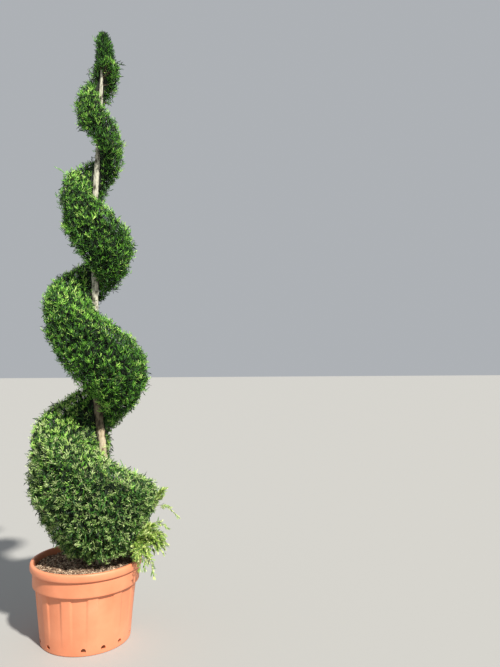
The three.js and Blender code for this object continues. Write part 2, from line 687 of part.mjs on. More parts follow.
// The way through the base that is left for the low bough and the tuft
const ahead = boughLine.getTangentAt(1);
const stemEnd = boughLine.getPointAt(1).addScaledVector(ahead, WAY_LENGTH);
const wayOut = limb(new THREE.LineCurve3(boughLine.getPointAt(1), stemEnd), WAY_RADII, 8, 1);
const roomyRadii = TUFT_SHOOT_RADII.map((radius) => radius + SHOOT_ROOM);
const shootSpaces = shootCurves().map((shoot) => limb(shoot, roomyRadii, 6, 6));
const boughSpace = join([limb(boughLine, BOUGH_RADII.map((r) => r + 2), 8, 4), wayOut, ...shootSpaces]);

const spans = MASS_ENDS.slice(1).map((to, i) => [MASS_ENDS[i], to]);
const cores = spans.map(([from, to]) => core(from, to));
const masses = [];
spans.forEach(([from, to], i) => {
  const others = [...masses, ...cores.slice(i + 1)];
  const grown = join([cores[i], stem(from, to), ...sprays(from, to, i + 1, others)]);
  masses.push(largest(grown.subtract(trunkSpace).subtract(boughSpace)));
  const part = from < GROOVE_END ? 'spiral' : 'base';
  plant.add(toMesh(`foliage_${part}_${String(i + 1).padStart(2, '0')}`, masses[i], FOLIAGE_LOOK));
});

plant.add(toMesh('foliage_tip', crownTip(), FOLIAGE_LOOK));
const loose = largest(tuft(outsideForm).subtract(limb(boughLine, BOUGH_RADII, 8, 4)));
plant.add(toMesh('foliage_unclipped_tuft', loose, { ...FOLIAGE_LOOK, color: 0x7fa84a }));

export default plant;
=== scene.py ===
import math

import bpy
import numpy as np
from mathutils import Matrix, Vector


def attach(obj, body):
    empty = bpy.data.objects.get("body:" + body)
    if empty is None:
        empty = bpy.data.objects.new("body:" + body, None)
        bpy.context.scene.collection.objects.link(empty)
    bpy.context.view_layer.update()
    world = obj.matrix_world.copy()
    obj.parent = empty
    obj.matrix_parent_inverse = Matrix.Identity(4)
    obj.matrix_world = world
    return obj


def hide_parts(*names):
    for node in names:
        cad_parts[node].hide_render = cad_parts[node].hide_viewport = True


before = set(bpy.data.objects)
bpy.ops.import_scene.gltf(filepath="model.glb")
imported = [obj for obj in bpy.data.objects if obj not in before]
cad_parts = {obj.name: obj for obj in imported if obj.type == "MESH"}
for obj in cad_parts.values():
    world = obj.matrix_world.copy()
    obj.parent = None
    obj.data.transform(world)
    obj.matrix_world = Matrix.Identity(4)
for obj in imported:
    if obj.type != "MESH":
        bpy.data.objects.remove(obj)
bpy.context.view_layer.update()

# Planter and soil
POT_HEIGHT = 0.430
RIM_RADIUS = 0.300
LIP_FOOT = 0.389
COLLAR_FOOT = 0.307
COLLAR_RADIUS = 0.286
BODY_RADIUS = 0.271
FOOT_RADIUS = 0.240
WALL = 0.008
RIBS = 12
FIRST_RIB = 7
RIB_HALF_WIDTH = 5.5  # degrees
RIB_SLOPE = [0.2, 1.4]  # degrees inside and outside of that, over which a rib's side falls
RIB_DEPTH = 0.007  # under the collar, running out to nothing at the foot
RIB_FOOT = 0.030
DRAINS = 15  # places, of which every fifth has no drain
DRAIN_GROUP = 5
FIRST_DRAIN = -3
DRAIN_WIDTH = 0.025
DRAIN_HEIGHT = 0.020
DRAIN_SILL = 0.022
SHARP_FROM = 38  # degrees between two faces
SOIL_TOP = 0.400
SOIL_EDGE = 0.396
SOIL_LEVEL_RADIUS = 0.140
SOIL_RADIUS = RIM_RADIUS - 0.0235
SOIL_GAP = 0.0006  # between the soil and the wall
LIP_ROUND = 0.014
# The wall's inside, from under the lip down to the floor: [height, radius]
INSIDE = [
    [LIP_FOOT + 0.030, RIM_RADIUS - 0.0215],
    [COLLAR_FOOT + 0.006, COLLAR_RADIUS - WALL - 0.006],
    [COLLAR_FOOT - 0.008, BODY_RADIUS - RIB_DEPTH - WALL],
    [WALL, FOOT_RADIUS - WALL - 0.002],
]
CHIP_COUNT = 4200
CHIP_SIZES = [[0.006, 0.016], [0.005, 0.011], [0.0015, 0.004]]  # least and most, along, across and thick
CHIP_SHARES = [0.28, 0.4, 0.32]  # of dark, brown and tan

# Trunk: [height, distance right of the planter's middle]
TRUNK_LINE = [
    [0.400, 0.080], [0.980, 0.078], [1.240, 0.050], [1.600, 0.032], [1.950, 0.022],
    [2.450, 0.018], [2.700, 0.031], [3.060, 0.043], [3.250, 0.050],
]
TRUNK_TOP = 3.250
TRUNK_FOOT_RADIUS = 0.024
TRUNK_TIP_RADIUS = 0.006
TRUNK_TAPER = 0.5
ROOT_FLARE = 0.020
FLARE_HEIGHT = 0.045
ROOTS = 4
ROOT_RIDGE = 0.16  # share of the trunk's radius
TRUNK_SINK = 0.006
STRIP_RELIEF = 0.0016
GRAIN_RELIEF = 0.0009
KNOTS = 90
KNOT_HEIGHTS = [0.1, 0.28]  # least and most, as shares of the trunk's radius
KNOTS_AND_SHADE_FROM = 1.13  # the bark is dark and knotty above this height, its darkness partly its own and partly painted shade from the lobe over it
GREY_FROM = 1.34  # and pale grey above this one
BARK_EDGE = 0.01  # how far those heights waver round the trunk

# Clipped form. The crown's outline is a radius by height round an axis that shifts at its foot and its
# top. Each groove then cuts in to the trunk, and the lobe between two turns of it is rounded. Most of
# these sizes and the four tables after them were fitted by a program to edges read from the photo.
CROWN_TOP = 3.440
CROWN_TAPER = 0.648
CROWN_BLEND = 14  # how tightly the outlines above and below the widest height meet
WIDEST_HEIGHT = 0.805
WIDEST_RADIUS = 0.368
FOOT_HEIGHT = 0.400
FOLIAGE_FOOT_RADIUS = 0.146
FOOT_SWELL = 0.768
CROWN_AXIS = 0.039
AXIS_AT_FOOT = 0.035
AXIS_AT_TOP = 0.034
AXIS_FOOT_HEIGHTS = [0.4, 0.85]
AXIS_TOP_HEIGHTS = [2.95, 3.3]
GROOVE_TOP = 3.029
GROOVE_FALL = 0.472
GROOVE_QUICKEN = 0.050
GROOVE_TILT = 0.020
GROOVE_START = -0.35
GROOVE_END = 3.6
FADE = [0.35, 0.3]  # turns over which the groove opens at its top and closes at its foot
LOBE_PEAK = 0.345  # share of a lobe's height, from its top, at which it is widest
TOP_ROUND = [3.2, 3.03]  # exponents, nearer 2 for a rounder end
BOTTOM_ROUND = [1.88, 1.74]
LUMP_SIZE = 0.170
LUMP_HEIGHT = 0.006
LUMP_FULL_RADIUS = 0.2  # the lumps are lower where the crown is thinner than this
LUMP_LEAST = 0.3
# Height of the groove above its even fall: [turn, height]
GROOVE_SHIFT = [
    [0, -0.010], [0.5, -0.003], [1, 0.017], [1.5, 0.036],
    [2, 0.013], [2.5, 0.004], [3, 0.003], [3.5, 0.015],
]
# How far a lobe stands out against the crown's outline: [turn of the groove under it, factor]
LOBE_SIZE = [
    [-0.25, 0.964], [0.25, 1.089], [0.75, 1.15], [1.25, 0.85], [1.75, 1.077],
    [2.25, 0.85], [2.75, 1.073], [3.25, 0.93], [3.75, 0.995], [4.25, 1.03],
]
# Bare trunk under and over the groove's line, as a share of the lobe there: [turn, share]
GAP_UNDER = [
    [0, 0.088], [0.5, 0.069], [1, 0.19], [1.5, 0.143],
    [2, 0.148], [2.5, 0.152], [3, 0.203], [3.5, 0.02],
]
GAP_OVER = [
    [0, 0.414], [0.5, 0.298], [1, 0.36], [1.5, 0.147], [2, 0.075], [2.25, 0.258], [2.5, 0.321],
    [3, 0.111], [3.5, 0.368],
]
# Turns at which each mass starts and the next one follows
MASS_ENDS = [GROOVE_START, 0.15, 0.65, 1.15, 1.65, 2.15, 2.65, 3.1, GROOVE_END, 4.1, GROOVE_END + 1]
NAMES = [
    f"foliage_{'spiral' if start < GROOVE_END else 'base'}_{i + 1:02d}"
    for i, start in enumerate(MASS_ENDS[:-1])
]
CORE_TOP = 3.242
CORE_FOOT = 0.462

# Branches inside the masses
BRANCHES = 260
BRANCH_HEIGHTS = [0.2, 0.65]  # shares of the lobe's height, from its top
BRANCH_RISE = 0.12  # over its reach
BRANCH_REACH = 0.8
BRANCH_STRAY = 0.02  # turns
BRANCH_THICKNESS = [0.12, 0.26]  # of the trunk's radius

# Low bough and the tuft left unclipped. Each shoot has its tip, its bend, the share of its length at
# which its sprays start, and how many grow side by side.
BOUGH_START_HEIGHT = 0.470
BOUGH_END = [0.270, -0.130, 0.540]
BOUGH_RADII = [0.010, 0.006]
BOUGH_SAG = 0.014
SHOOT_RADII = [0.0016, 0.0008]
SHOOT_SPREAD = 0.018  # between shoots that grow side by side
SHOOT_SPRAYS = 44
SHOOT_END_SPRAYS = [0.9, 0.96, 1.0]  # shares of a shoot's length that always bear a spray
FROND_LENGTH = 0.043
FROND_SIZES = [0.5, 1.2]
YOUNG_SHARES = [0.28, 0.36, 0.24, 0.12]
TUFT_SHOOTS = [
    [[0.414, -0.102, 0.796], [0.350, -0.092, 0.752], 0.6, 3],
    [[0.396, -0.125, 0.764], [0.335, -0.108, 0.730], 0.6, 3],
    [[0.488, -0.095, 0.640], [0.356, -0.088, 0.822], 0.6, 1],
    [[0.428, -0.104, 0.586], [0.345, -0.098, 0.672], 0.55, 1],
    [[0.414, -0.112, 0.516], [0.352, -0.104, 0.640], 0.4, 1],
    [[0.396, -0.150, 0.548], [0.322, -0.140, 0.606], 0.3, 4],
    [[0.414, -0.150, 0.510], [0.348, -0.150, 0.588], 0.2, 5],
    [[0.404, -0.142, 0.492], [0.352, -0.145, 0.575], 0.15, 5],
    [[0.372, -0.165, 0.500], [0.338, -0.160, 0.570], 0.1, 5],
    [[0.360, -0.150, 0.606], [0.300, -0.142, 0.596], 0.1, 4],
    [[0.345, -0.176, 0.556], [0.306, -0.166, 0.576], 0.1, 4],
    [[0.330, -0.184, 0.456], [0.312, -0.170, 0.530], 0.05, 5],
    [[0.300, -0.212, 0.406], [0.292, -0.190, 0.520], 0.05, 4],
    [[0.258, -0.222, 0.474], [0.264, -0.200, 0.520], 0.05, 3],
]

# Leader's tuft: [height, radius, distance right of the planter's middle]
TIP_SHAPE = [
    [3.215, 0.068, 0.070], [3.270, 0.062, 0.067], [3.318, 0.053, 0.062], [3.360, 0.046, 0.057],
    [3.390, 0.039, 0.053], [3.415, 0.024, 0.051], [3.431, 0.006, 0.050],
]
TIP_CLUMPS = 330
TIP_DEPTH = 0.042
TIP_INSIDE = 0.6  # share of its radius
TIP_SIDES = 16

# Fine foliage. A pair is for the spiral and for the base, or the least and the most.
CLUMPS_PER_AREA = 1700
CLUMP_SPRIGS = 5
CLUMP_DEPTH = 0.033
CLUMP_OUT = [0.55, 0.8]
CLUMP_UP = [0.78, 0.35]
CLUMP_STRAY = [0.28, 0.34]
CLUMP_BELOW = [-0.009, 0.011]
CLUMP_FAN = 1.1
UNEVENNESS = 0.003
LONG_SHARE = 0.05
LONG_OUT = [0.008, 0.016]
INNER_PER_AREA = 6200
INNER_BELOW = [0.008, 0.030]
INNER_LENGTH = 0.042
TWIG_RADIUS = 0.0013
SURFACE_TUCK = 0.12  # how far past a lobe's ends, in shares of its outside, its surface runs to the trunk
BASE_HEIGHTS = [1.6, 1.1]  # between which the spiral's foliage turns into the base's
SAGE_HEIGHTS = [1.35, 0.75]  # from the last green sprig to where all are greyer
CORE_INSET = 0.048
CORE_GAP = 0.006
MOST_FACES = 95000  # quads in a piece
SPIN = 2.4  # radians from one leaf or sprig to the next
GOLDEN_TURN = 0.381966  # the same in turns
# Shoots that have grown out since the last clipping: from and to
STRAYS = [
    [[-0.140, -0.02, 2.555], [-0.202, -0.02, 2.603]], [[-0.039, -0.06, 2.570], [-0.062, -0.06, 2.615]],
    [[-0.100, -0.01, 2.935], [-0.126, -0.01, 2.967]], [[0.010, 0.00, 3.350], [-0.011, 0.00, 3.393]],
    [[0.198, -0.10, 0.910], [0.168, -0.10, 0.969]],
]

TURN = 2 * math.pi
UP = np.array([0.0, 0.0, 1.0])


def mix(a, b, s):
    return a + (b - a) * s


def ease(a, b, x):
    s = np.clip((x - a) / (b - a), 0, 1)
    return s * s * (3 - 2 * s)


def unit(v):
    return v / np.maximum(np.linalg.norm(v, axis=-1, keepdims=True), 1e-9)


def along(pairs, x):
    """A smooth curve through [place, value] pairs."""
    places, values = np.array(pairs, float).T
    x = np.clip(x, places[0], places[-1])
    i = np.clip(np.searchsorted(places, x, side="left") - 1, 0, len(places) - 2)
    here = np.arange(len(places))
    low, high = np.maximum(here - 1, 0), np.minimum(here + 1, len(places) - 1)
    slopes = (values[high] - values[low]) / (places[high] - places[low])
    width = places[i + 1] - places[i]
    s = (x - places[i]) / width
    ends = (1 + 2 * s) * (1 - s) ** 2 * values[i] + s * s * (3 - 2 * s) * values[i + 1]
    return ends + width * s * (1 - s) * ((1 - s) * slopes[i] - s * slopes[i + 1])


def ripples(points, size, seed):
    """Smooth unevenness, mostly from -1 to 1, with bumps of about the given size."""
    rng = np.random.default_rng(seed)
    waves = 12
    total = np.zeros(points.shape[:-1])
    for way in unit(rng.normal(size=(waves, 3))):
        total += np.sin(points @ way * (TURN / size) * rng.uniform(0.6, 1.5) + rng.uniform(0, TURN))
    return total / math.sqrt(waves)


# Materials


def material(name, colour, roughness, **more):
    made = bpy.data.materials.new(name)
    made.use_nodes = True
    shader = made.node_tree.nodes["Principled BSDF"]
    shader.inputs["Base Color"].default_value = (*colour, 1)
    shader.inputs["Roughness"].default_value = roughness
    for socket, value in more.items():
        shader.inputs[socket.replace("_", " ")].default_value = value
    return made


def add_pattern(made, size, colours, bump, bump_size, stretch=(1, 1, 1), detail=6, rough=None):
    """Colours dealt out by noise in the object's own space, with finer noise as relief."""
    nodes, links = made.node_tree.nodes, made.node_tree.links
    shader = nodes["Principled BSDF"]
    coordinates = nodes.new("ShaderNodeTexCoord")
    scale = nodes.new("ShaderNodeMapping")
    scale.inputs["Scale"].default_value = stretch
    links.new(coordinates.outputs["Object"], scale.inputs["Vector"])
    noise = nodes.new("ShaderNodeTexNoise")
    noise.inputs["Scale"].default_value = 1 / size
    noise.inputs["Detail"].default_value = detail
    links.new(scale.outputs["Vector"], noise.inputs["Vector"])
    ramp = nodes.new("ShaderNodeValToRGB")
    stops = ramp.color_ramp.elements
    for i, (position, colour) in enumerate(colours):
        stop = stops[i] if i < 2 else stops.new(position)
        stop.position = position
        stop.color = (*colour, 1)
    links.new(noise.outputs["Fac"], ramp.inputs["Fac"])
    links.new(ramp.outputs["Color"], shader.inputs["Base Color"])
    fine = nodes.new("ShaderNodeTexNoise")
    fine.inputs["Scale"].default_value = 1 / bump_size
    fine.inputs["Detail"].default_value = 8
    links.new(scale.outputs["Vector"], fine.inputs["Vector"])
    relief = nodes.new("ShaderNodeBump")
    relief.inputs["Strength"].default_value = 1
    relief.inputs["Distance"].default_value = bump
    links.new(fine.outputs["Fac"], relief.inputs["Height"])
    links.new(relief.outputs["Normal"], shader.inputs["Normal"])
    if rough:
        spread = nodes.new("ShaderNodeMapRange")
        spread.inputs["To Min"].default_value = rough[0]
        spread.inputs["To Max"].default_value = rough[1]
        links.new(noise.outputs["Fac"], spread.inputs["Value"])
        links.new(spread.outputs["Result"], shader.inputs["Roughness"])
    return made


def srgb(r, g, b):
    """A colour as a picture shows it, 0 to 255, as light."""
    shares = [x / 255 for x in (r, g, b)]
    return [x / 12.92 if x <= 0.04045 else ((x + 0.055) / 1.055) ** 2.4 for x in shares]


PLASTIC = add_pattern(
    material("planter_plastic", srgb(222, 140, 102), 0.5),
    0.16, [(0.3, srgb(213, 129, 92)), (0.62, srgb(226, 144, 106)), (0.8, srgb(232, 154, 117))],
    detail=4, bump=0.0006, bump_size=0.012, rough=(0.42, 0.62),
)
SOIL = add_pattern(
    material("soil", srgb(124, 98, 78), 0.95),
    0.03, [(0.3, srgb(88, 66, 50)), (0.6, srgb(140, 112, 90)), (0.8, srgb(180, 152, 124))],
    bump=0.004, bump_size=0.008,
)
CHIP_COLOURS = {"dark": (92, 70, 54), "brown": (156, 128, 104), "tan": (220, 196, 168)}
CHIPS = [
    add_pattern(
        material(f"chips_{name}", srgb(*colour), 0.9),
        0.012, [(0.3, srgb(*[0.8 * c for c in colour])), (0.7, srgb(*colour))],
        bump=0.0008, bump_size=0.004,
    )
    for name, colour in CHIP_COLOURS.items()
]


def bark_look(name, shades, size):
    """Bark in long patches, from the furrows' colour by the peeling strips' to the bare wood's and back."""
    stops = [(share, srgb(*shade)) for share, shade in zip((0.36, 0.44, 0.6, 0.8), shades)]
    plain = material(name, stops[1][1], 0.85)
    return add_pattern(plain, size, stops, bump=0.004, bump_size=0.012, stretch=(1, 1, 0.4))


BARK = bark_look("bark", [(84, 70, 54), (164, 148, 120), (194, 182, 156), (152, 134, 108)], 0.020)
GREY_BARK = bark_look("grey_bark", [(78, 74, 60), (158, 156, 140), (198, 196, 178), (140, 136, 118)], 0.016)
# Darker bark for the band under the lobe: partly its own knotty bark, partly painted shade.
KNOTS_AND_SHADE_BARK = bark_look("knots_and_shade_bark", [(46, 38, 28), (90, 80, 62), (124, 114, 92), (76, 66, 50)], 0.016)
TWIG_BARK = material("twig_bark", srgb(96, 82, 62), 0.85)
# Near-black green for the sheets inside the clipped masses and the tip: painted shade.
SHADE_CORE = material("painted_shade_core", srgb(20, 32, 18), 0.95)


def leaf_looks(name, shades):
    """Leaf colours from the darkest to the palest."""
    return [material(f"{name}_{i + 1}", srgb(*shade), 0.6 - 0.03 * i, Specular_IOR_Level=0.4)
            for i, shade in enumerate(shades)]


GREENS = leaf_looks("leaf_green", [
    (26, 50, 24), (56, 102, 38), (98, 162, 54), (148, 208, 82), (198, 232, 128),
])
SAGES = leaf_looks("leaf_sage", [
    (34, 56, 32), (78, 114, 54), (130, 170, 86), (172, 204, 120), (204, 222, 158),
])
YOUNG = leaf_looks("leaf_young", [(84, 120, 48), (138, 172, 72), (184, 206, 106), (210, 222, 150)])


# Meshes


def piece(name, vertices, faces, looks, slot, nodes, kinds=None, smooth=False, caps=()):
    """A joined mesh that rides on the plant in place of nodes: quads with their looks, and closing caps."""
    mesh = bpy.data.meshes.new(name)
    corners = np.concatenate([faces.ravel(), *caps])
    cap_sizes = [len(cap) for cap in caps]
    sizes = np.concatenate([np.full(len(faces), 4), cap_sizes]).astype(np.int32)
    mesh.vertices.add(len(vertices))
    mesh.vertices.foreach_set("co", np.ascontiguousarray(vertices, np.float32).ravel())
    mesh.loops.add(len(corners))
    mesh.loops.foreach_set("vertex_index", corners.astype(np.int32))
    mesh.polygons.add(len(sizes))
    mesh.polygons.foreach_set("loop_start", (np.cumsum(sizes) - sizes).astype(np.int32))
    for look in looks:
        mesh.materials.append(look)
    if kinds is not None:
        mesh.polygons.foreach_set("material_index", kinds.astype(np.int32))
    mesh.polygons.foreach_set("use_smooth", np.full(len(sizes), smooth))
    mesh.update(calc_edges=True)
    made = bpy.data.objects.new(name, mesh)
    bpy.context.scene.collection.objects.link(made)
    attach(made, "root")
    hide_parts(*nodes)
    return made


def grid_faces(rows, columns):
    """Quads between stacked rings of points, counterclockwise seen from outside if the rings are."""
    i, j = np.meshgrid(np.arange(rows - 1), np.arange(columns), indexing="ij")
    k = (j + 1) % columns
    corners = [i * columns + j, i * columns + k, (i + 1) * columns + k, (i + 1) * columns + j]
    return np.stack(corners, -1).reshape(-1, 4)


def sprig_faces(points):
    """The quads of sprigs whose points come four to a leaf."""
    return np.arange(points.shape[0] * points.shape[1]).reshape(-1, 4)


def tubes(starts, bends, ends, thick, thin, sides, steps):
    """Tapering twigs along curves from starts by bends to ends: their points and quads."""
    s = np.linspace(0, 1, steps + 1)[None, :, None]
    a, b, c = starts[:, None], bends[:, None], ends[:, None]
    line = (1 - s) ** 2 * a + 2 * s * (1 - s) * b + s * s * c
    ahead = unit(2 * (1 - s) * (b - a) + 2 * s * (c - b))
    aside = np.where(np.abs(ahead[..., 2:]) > 0.9, [1.0, 0.0, 0.0], UP)
    across = unit(np.cross(aside, ahead))
    over = np.cross(ahead, across)
    radius = mix(np.asarray(thick)[..., None, None], np.asarray(thin)[..., None, None], s)[..., None]
    angle = np.linspace(0, TURN, sides, endpoint=False)[None, None, :, None]
    outward = np.cos(angle) * across[:, :, None] + np.sin(angle) * over[:, :, None]
    rings = line[:, :, None] + radius * outward
    count = len(starts)
    faces = grid_faces(steps + 1, sides)[None] + (np.arange(count) * (steps + 1) * sides)[:, None, None]
    return rings.reshape(-1, 3), faces.reshape(-1, 4)


# The clipped form


def trunk_x(height):
    return along(TRUNK_LINE, height)


def trunk_radius(height):
    left = np.clip((TRUNK_TOP - height) / (TRUNK_TOP - SOIL_TOP), 0, 1)
    flare = ROOT_FLARE * np.exp((SOIL_TOP - height) / FLARE_HEIGHT)
    return mix(TRUNK_TIP_RADIUS, TRUNK_FOOT_RADIUS, left ** TRUNK_TAPER) + flare


def groove_height(turn):
    fall = GROOVE_FALL * turn + GROOVE_QUICKEN * turn * turn
    return GROOVE_TOP - fall + GROOVE_TILT * np.cos(TURN * turn) + along(GROOVE_SHIFT, turn)


GROOVE_TURNS = np.linspace(GROOVE_START - 1, GROOVE_END + 1.5, 4000)
GROOVE_HEIGHTS = groove_height(GROOVE_TURNS)


def groove_turn(height):
    """The turn at which the groove's line passes a height."""
    return np.interp(-height, -GROOVE_HEIGHTS, GROOVE_TURNS)


def groove_depth(turn):
    opened = ease(GROOVE_START, GROOVE_START + FADE[0], turn)
    return opened * (1 - ease(GROOVE_END - FADE[1], GROOVE_END, turn))


def crown_radius(height):
    left = np.maximum(CROWN_TOP - height, 0.001) / (CROWN_TOP - WIDEST_HEIGHT)
    over = WIDEST_RADIUS * left ** CROWN_TAPER
    rise = np.maximum(height - FOOT_HEIGHT, 0) / (WIDEST_HEIGHT - FOOT_HEIGHT)
    under = mix(FOLIAGE_FOOT_RADIUS, WIDEST_RADIUS, rise ** FOOT_SWELL)
    least = np.minimum(over, under)
    blend = (over / least) ** -CROWN_BLEND + (under / least) ** -CROWN_BLEND
    return least * blend ** (-1 / CROWN_BLEND)


def crown_x(height):
    foot = AXIS_AT_FOOT * (1 - ease(*AXIS_FOOT_HEIGHTS, height))
    return CROWN_AXIS + foot + AXIS_AT_TOP * ease(*AXIS_TOP_HEIGHTS, height)


def rise_from(start, gap, peak, rounding):
    """A lobe's swelling from nothing at its gap to all of it at its peak."""
    opened = 1 - np.clip((start - gap) / (peak - gap), 0, 1)
    return (1 - opened ** rounding[0]) ** (1 / rounding[1])


def swell(turn, share):
    """How far a lobe has swelled out of its groove, at a share of its height from its top."""
    top = rise_from(share, along(GAP_UNDER, turn - 1), LOBE_PEAK, TOP_ROUND)
    bottom = rise_from(1 - share, along(GAP_OVER, turn), 1 - LOBE_PEAK, BOTTOM_ROUND)
    depth = np.where(share < LOBE_PEAK, groove_depth(turn - 1), groove_depth(turn))
    return 1 - depth * (1 - np.where(share < LOBE_PEAK, top, bottom))


def place(turn, distance, height):
    x = trunk_x(height) + distance * np.sin(TURN * turn)
    return np.stack(np.broadcast_arrays(x, -distance * np.cos(TURN * turn), height), -1)


def lump(points):
    """The shears' unevenness at points of the full form."""
    x, y, z = np.moveaxis(points * (TURN / LUMP_SIZE), -1, 0)
    return LUMP_HEIGHT * (np.sin(x) * np.cos(y) + np.sin(y) * np.cos(z) + np.sin(z) * np.cos(x))


def reach(turn, height):
    """Distance from the trunk's line to the clipped surface, over the groove of the given turn."""
    radius = crown_radius(height) * along(LOBE_SIZE, turn)
    aside = crown_x(height) - trunk_x(height)
    outward = aside * np.sin(TURN * turn)
    full = outward + np.sqrt(np.maximum(radius**2 - aside**2 + outward**2, 1e-6))
    uneven = lump(place(turn, full, height)) * np.clip(full / LUMP_FULL_RADIUS, LUMP_LEAST, 1)
    share = np.clip(groove_turn(height) - (turn - 1), 0, 1)
    return mix(trunk_radius(height), full + uneven, swell(turn, share))


def lobe_ends(turn):
    """The shares of a lobe's height at which it starts and ends."""
    top = groove_depth(turn - 1) * along(GAP_UNDER, turn - 1)
    bottom = 1 - groove_depth(turn) * along(GAP_OVER, turn)
    top = np.where(turn - 1 < GROOVE_START, groove_turn(CORE_TOP) - (turn - 1), top)
    bottom = np.where(turn > GROOVE_END, groove_turn(CORE_FOOT) - (turn - 1), bottom)
    return top, bottom


def lobe_surface(turn, down):
    """Points of the clipped surface: down runs from 0 at a lobe's top to 1 at its foot.

    Short of 0 it runs in along the lobe's top to the trunk, and past 1 in along its underside.
    """
    top, bottom = lobe_ends(turn)
    outside = np.clip(down, 0, 1)
    height = groove_height(turn - 1 + mix(top, bottom, (1 - np.cos(math.pi * outside)) / 2))
    inward = np.abs(down - outside) / SURFACE_TUCK
    return place(turn, mix(reach(turn, height), trunk_radius(height), inward), height)


def cell_areas(points):
    """Areas of the quads between a grid's points."""
    across = points[1:] - points[:-1]
    down = points[:, 1:] - points[:, :-1]
    return np.linalg.norm(np.cross(across[:, 1:] + across[:, :-1], down[1:] + down[:-1]), axis=-1) / 4


def surface_samples(first, last, count, rng):
    """Points spread evenly over a mass's clipped surface, and their outward normals."""
    steps_per_turn, levels = 90, 52
    steps = math.ceil((last - first) * steps_per_turn)
    turns = np.linspace(first + 1e-5, last - 1e-5, steps + 1)[:, None]
    downs = np.linspace(-SURFACE_TUCK, 1 + SURFACE_TUCK, levels + 1)[None, :]
    points = lobe_surface(*np.broadcast_arrays(turns, downs))
    total = np.cumsum(cell_areas(points))
    spots = (np.arange(count) + rng.uniform(size=count)) / count * total[-1]
    cell = np.searchsorted(total, spots)
    i, j = np.divmod(cell, levels)
    u, v = rng.uniform(size=(2, count, 1))
    low = mix(points[i, j], points[i + 1, j], u)
    high = mix(points[i, j + 1], points[i + 1, j + 1], u)
    run = np.gradient(points, axis=0)
    fall = np.gradient(points, axis=1)
    normals = unit(np.cross(fall, run))
    return mix(low, high, v), unit(normals[i, j])


def surface_area(first, last):
    steps, levels = 60, 36
    turns = np.linspace(first, last, steps)
    downs = np.linspace(-SURFACE_TUCK, 1 + SURFACE_TUCK, levels)
    return cell_areas(lobe_surface(*np.meshgrid(turns, downs, indexing="ij"))).sum()


# Planter


def pot_profile():
    """[height, radius, share of the ribs' depth] up the outside, over the rim and down the inside."""
    def body(z):
        return mix(FOOT_RADIUS, BODY_RADIUS, z / COLLAR_FOOT)

    def ribs(z):
        return np.clip((z - RIB_FOOT) / (COLLAR_FOOT - RIB_FOOT), 0, 1)

    foot, wide = COLLAR_FOOT, COLLAR_RADIUS
    # The foot's rounded edge, and the ribbed body
    rows = [[0.0, FOOT_RADIUS - 0.004, 0], [0.001, FOOT_RADIUS - 0.0015, 0], [0.003, body(0.003), 0]]
    rows += [[z, body(z), ribs(z)] for z in np.linspace(0.008, foot - 0.004, 36)]
    # The collar, rounded at both edges
    rows += [[foot - 0.002, body(foot), 0.6], [foot - 0.0012, wide - 0.009, 0], [foot, wide - 0.0035, 0],
             [foot + 0.002, wide - 0.0016, 0], [foot + 0.006, wide - 0.001, 0]]
    rows += [[z, mix(wide - 0.001, wide, (z - foot) / 0.08), 0]
             for z in np.linspace(foot + 0.014, LIP_FOOT - 0.006, 7)]
    rows += [[LIP_FOOT - 0.003, wide - 0.0012, 0], [LIP_FOOT - 0.0005, wide - 0.0015, 0]]
    # The lip, squarer below than above
    middle, half = (LIP_FOOT + POT_HEIGHT) / 2, (POT_HEIGHT - LIP_FOOT) / 2
    for a in np.radians(np.linspace(-82, 90, 22)):
        out = max(math.cos(a), 0) ** (0.3 if a < 0 else 0.55)
        rows.append([middle + half * math.sin(a), RIM_RADIUS - LIP_ROUND + LIP_ROUND * out, 0])
    rows += [[POT_HEIGHT - 0.0005, RIM_RADIUS - 0.0165, 0], [POT_HEIGHT - 0.003, RIM_RADIUS - 0.0195, 0]]
    for (z, r), (z2, r2) in zip(INSIDE, INSIDE[1:]):
        rows += [[mix(z, z2, s), mix(r, r2, s), 0] for s in np.linspace(0, 1, 6)[:-1]]
    return np.array([*rows, [*INSIDE[-1], 0]])


def make_pot():
    columns = 336
    rows = pot_profile()
    degrees = np.linspace(0, 360, columns, endpoint=False)
    pitch = 360 / RIBS
    off_rib = np.abs((degrees - FIRST_RIB + pitch / 2) % pitch - pitch / 2)
    panel = ease(RIB_HALF_WIDTH - RIB_SLOPE[0], RIB_HALF_WIDTH + RIB_SLOPE[1], off_rib)
    radius = rows[:, 1:2] - RIB_DEPTH * rows[:, 2:3] * panel
    angle = np.radians(degrees)[None, :]
    rings = np.stack(np.broadcast_arrays(radius * np.sin(angle), -radius * np.cos(angle), rows[:, :1]), -1)
    under = np.arange(columns)[::-1]
    floor = (len(rows) - 1) * columns + np.arange(columns)
    made = piece("pot_shell", rings.reshape(-1, 3), grid_faces(len(rows), columns), [PLASTIC], "planter",
                 ["pot"], smooth=True, caps=[under, floor])
    cut_drains(made)
    made.data.polygons.foreach_set("use_smooth", np.ones(len(made.data.polygons), bool))
    made.data.set_sharp_from_angle(angle=math.radians(SHARP_FROM))


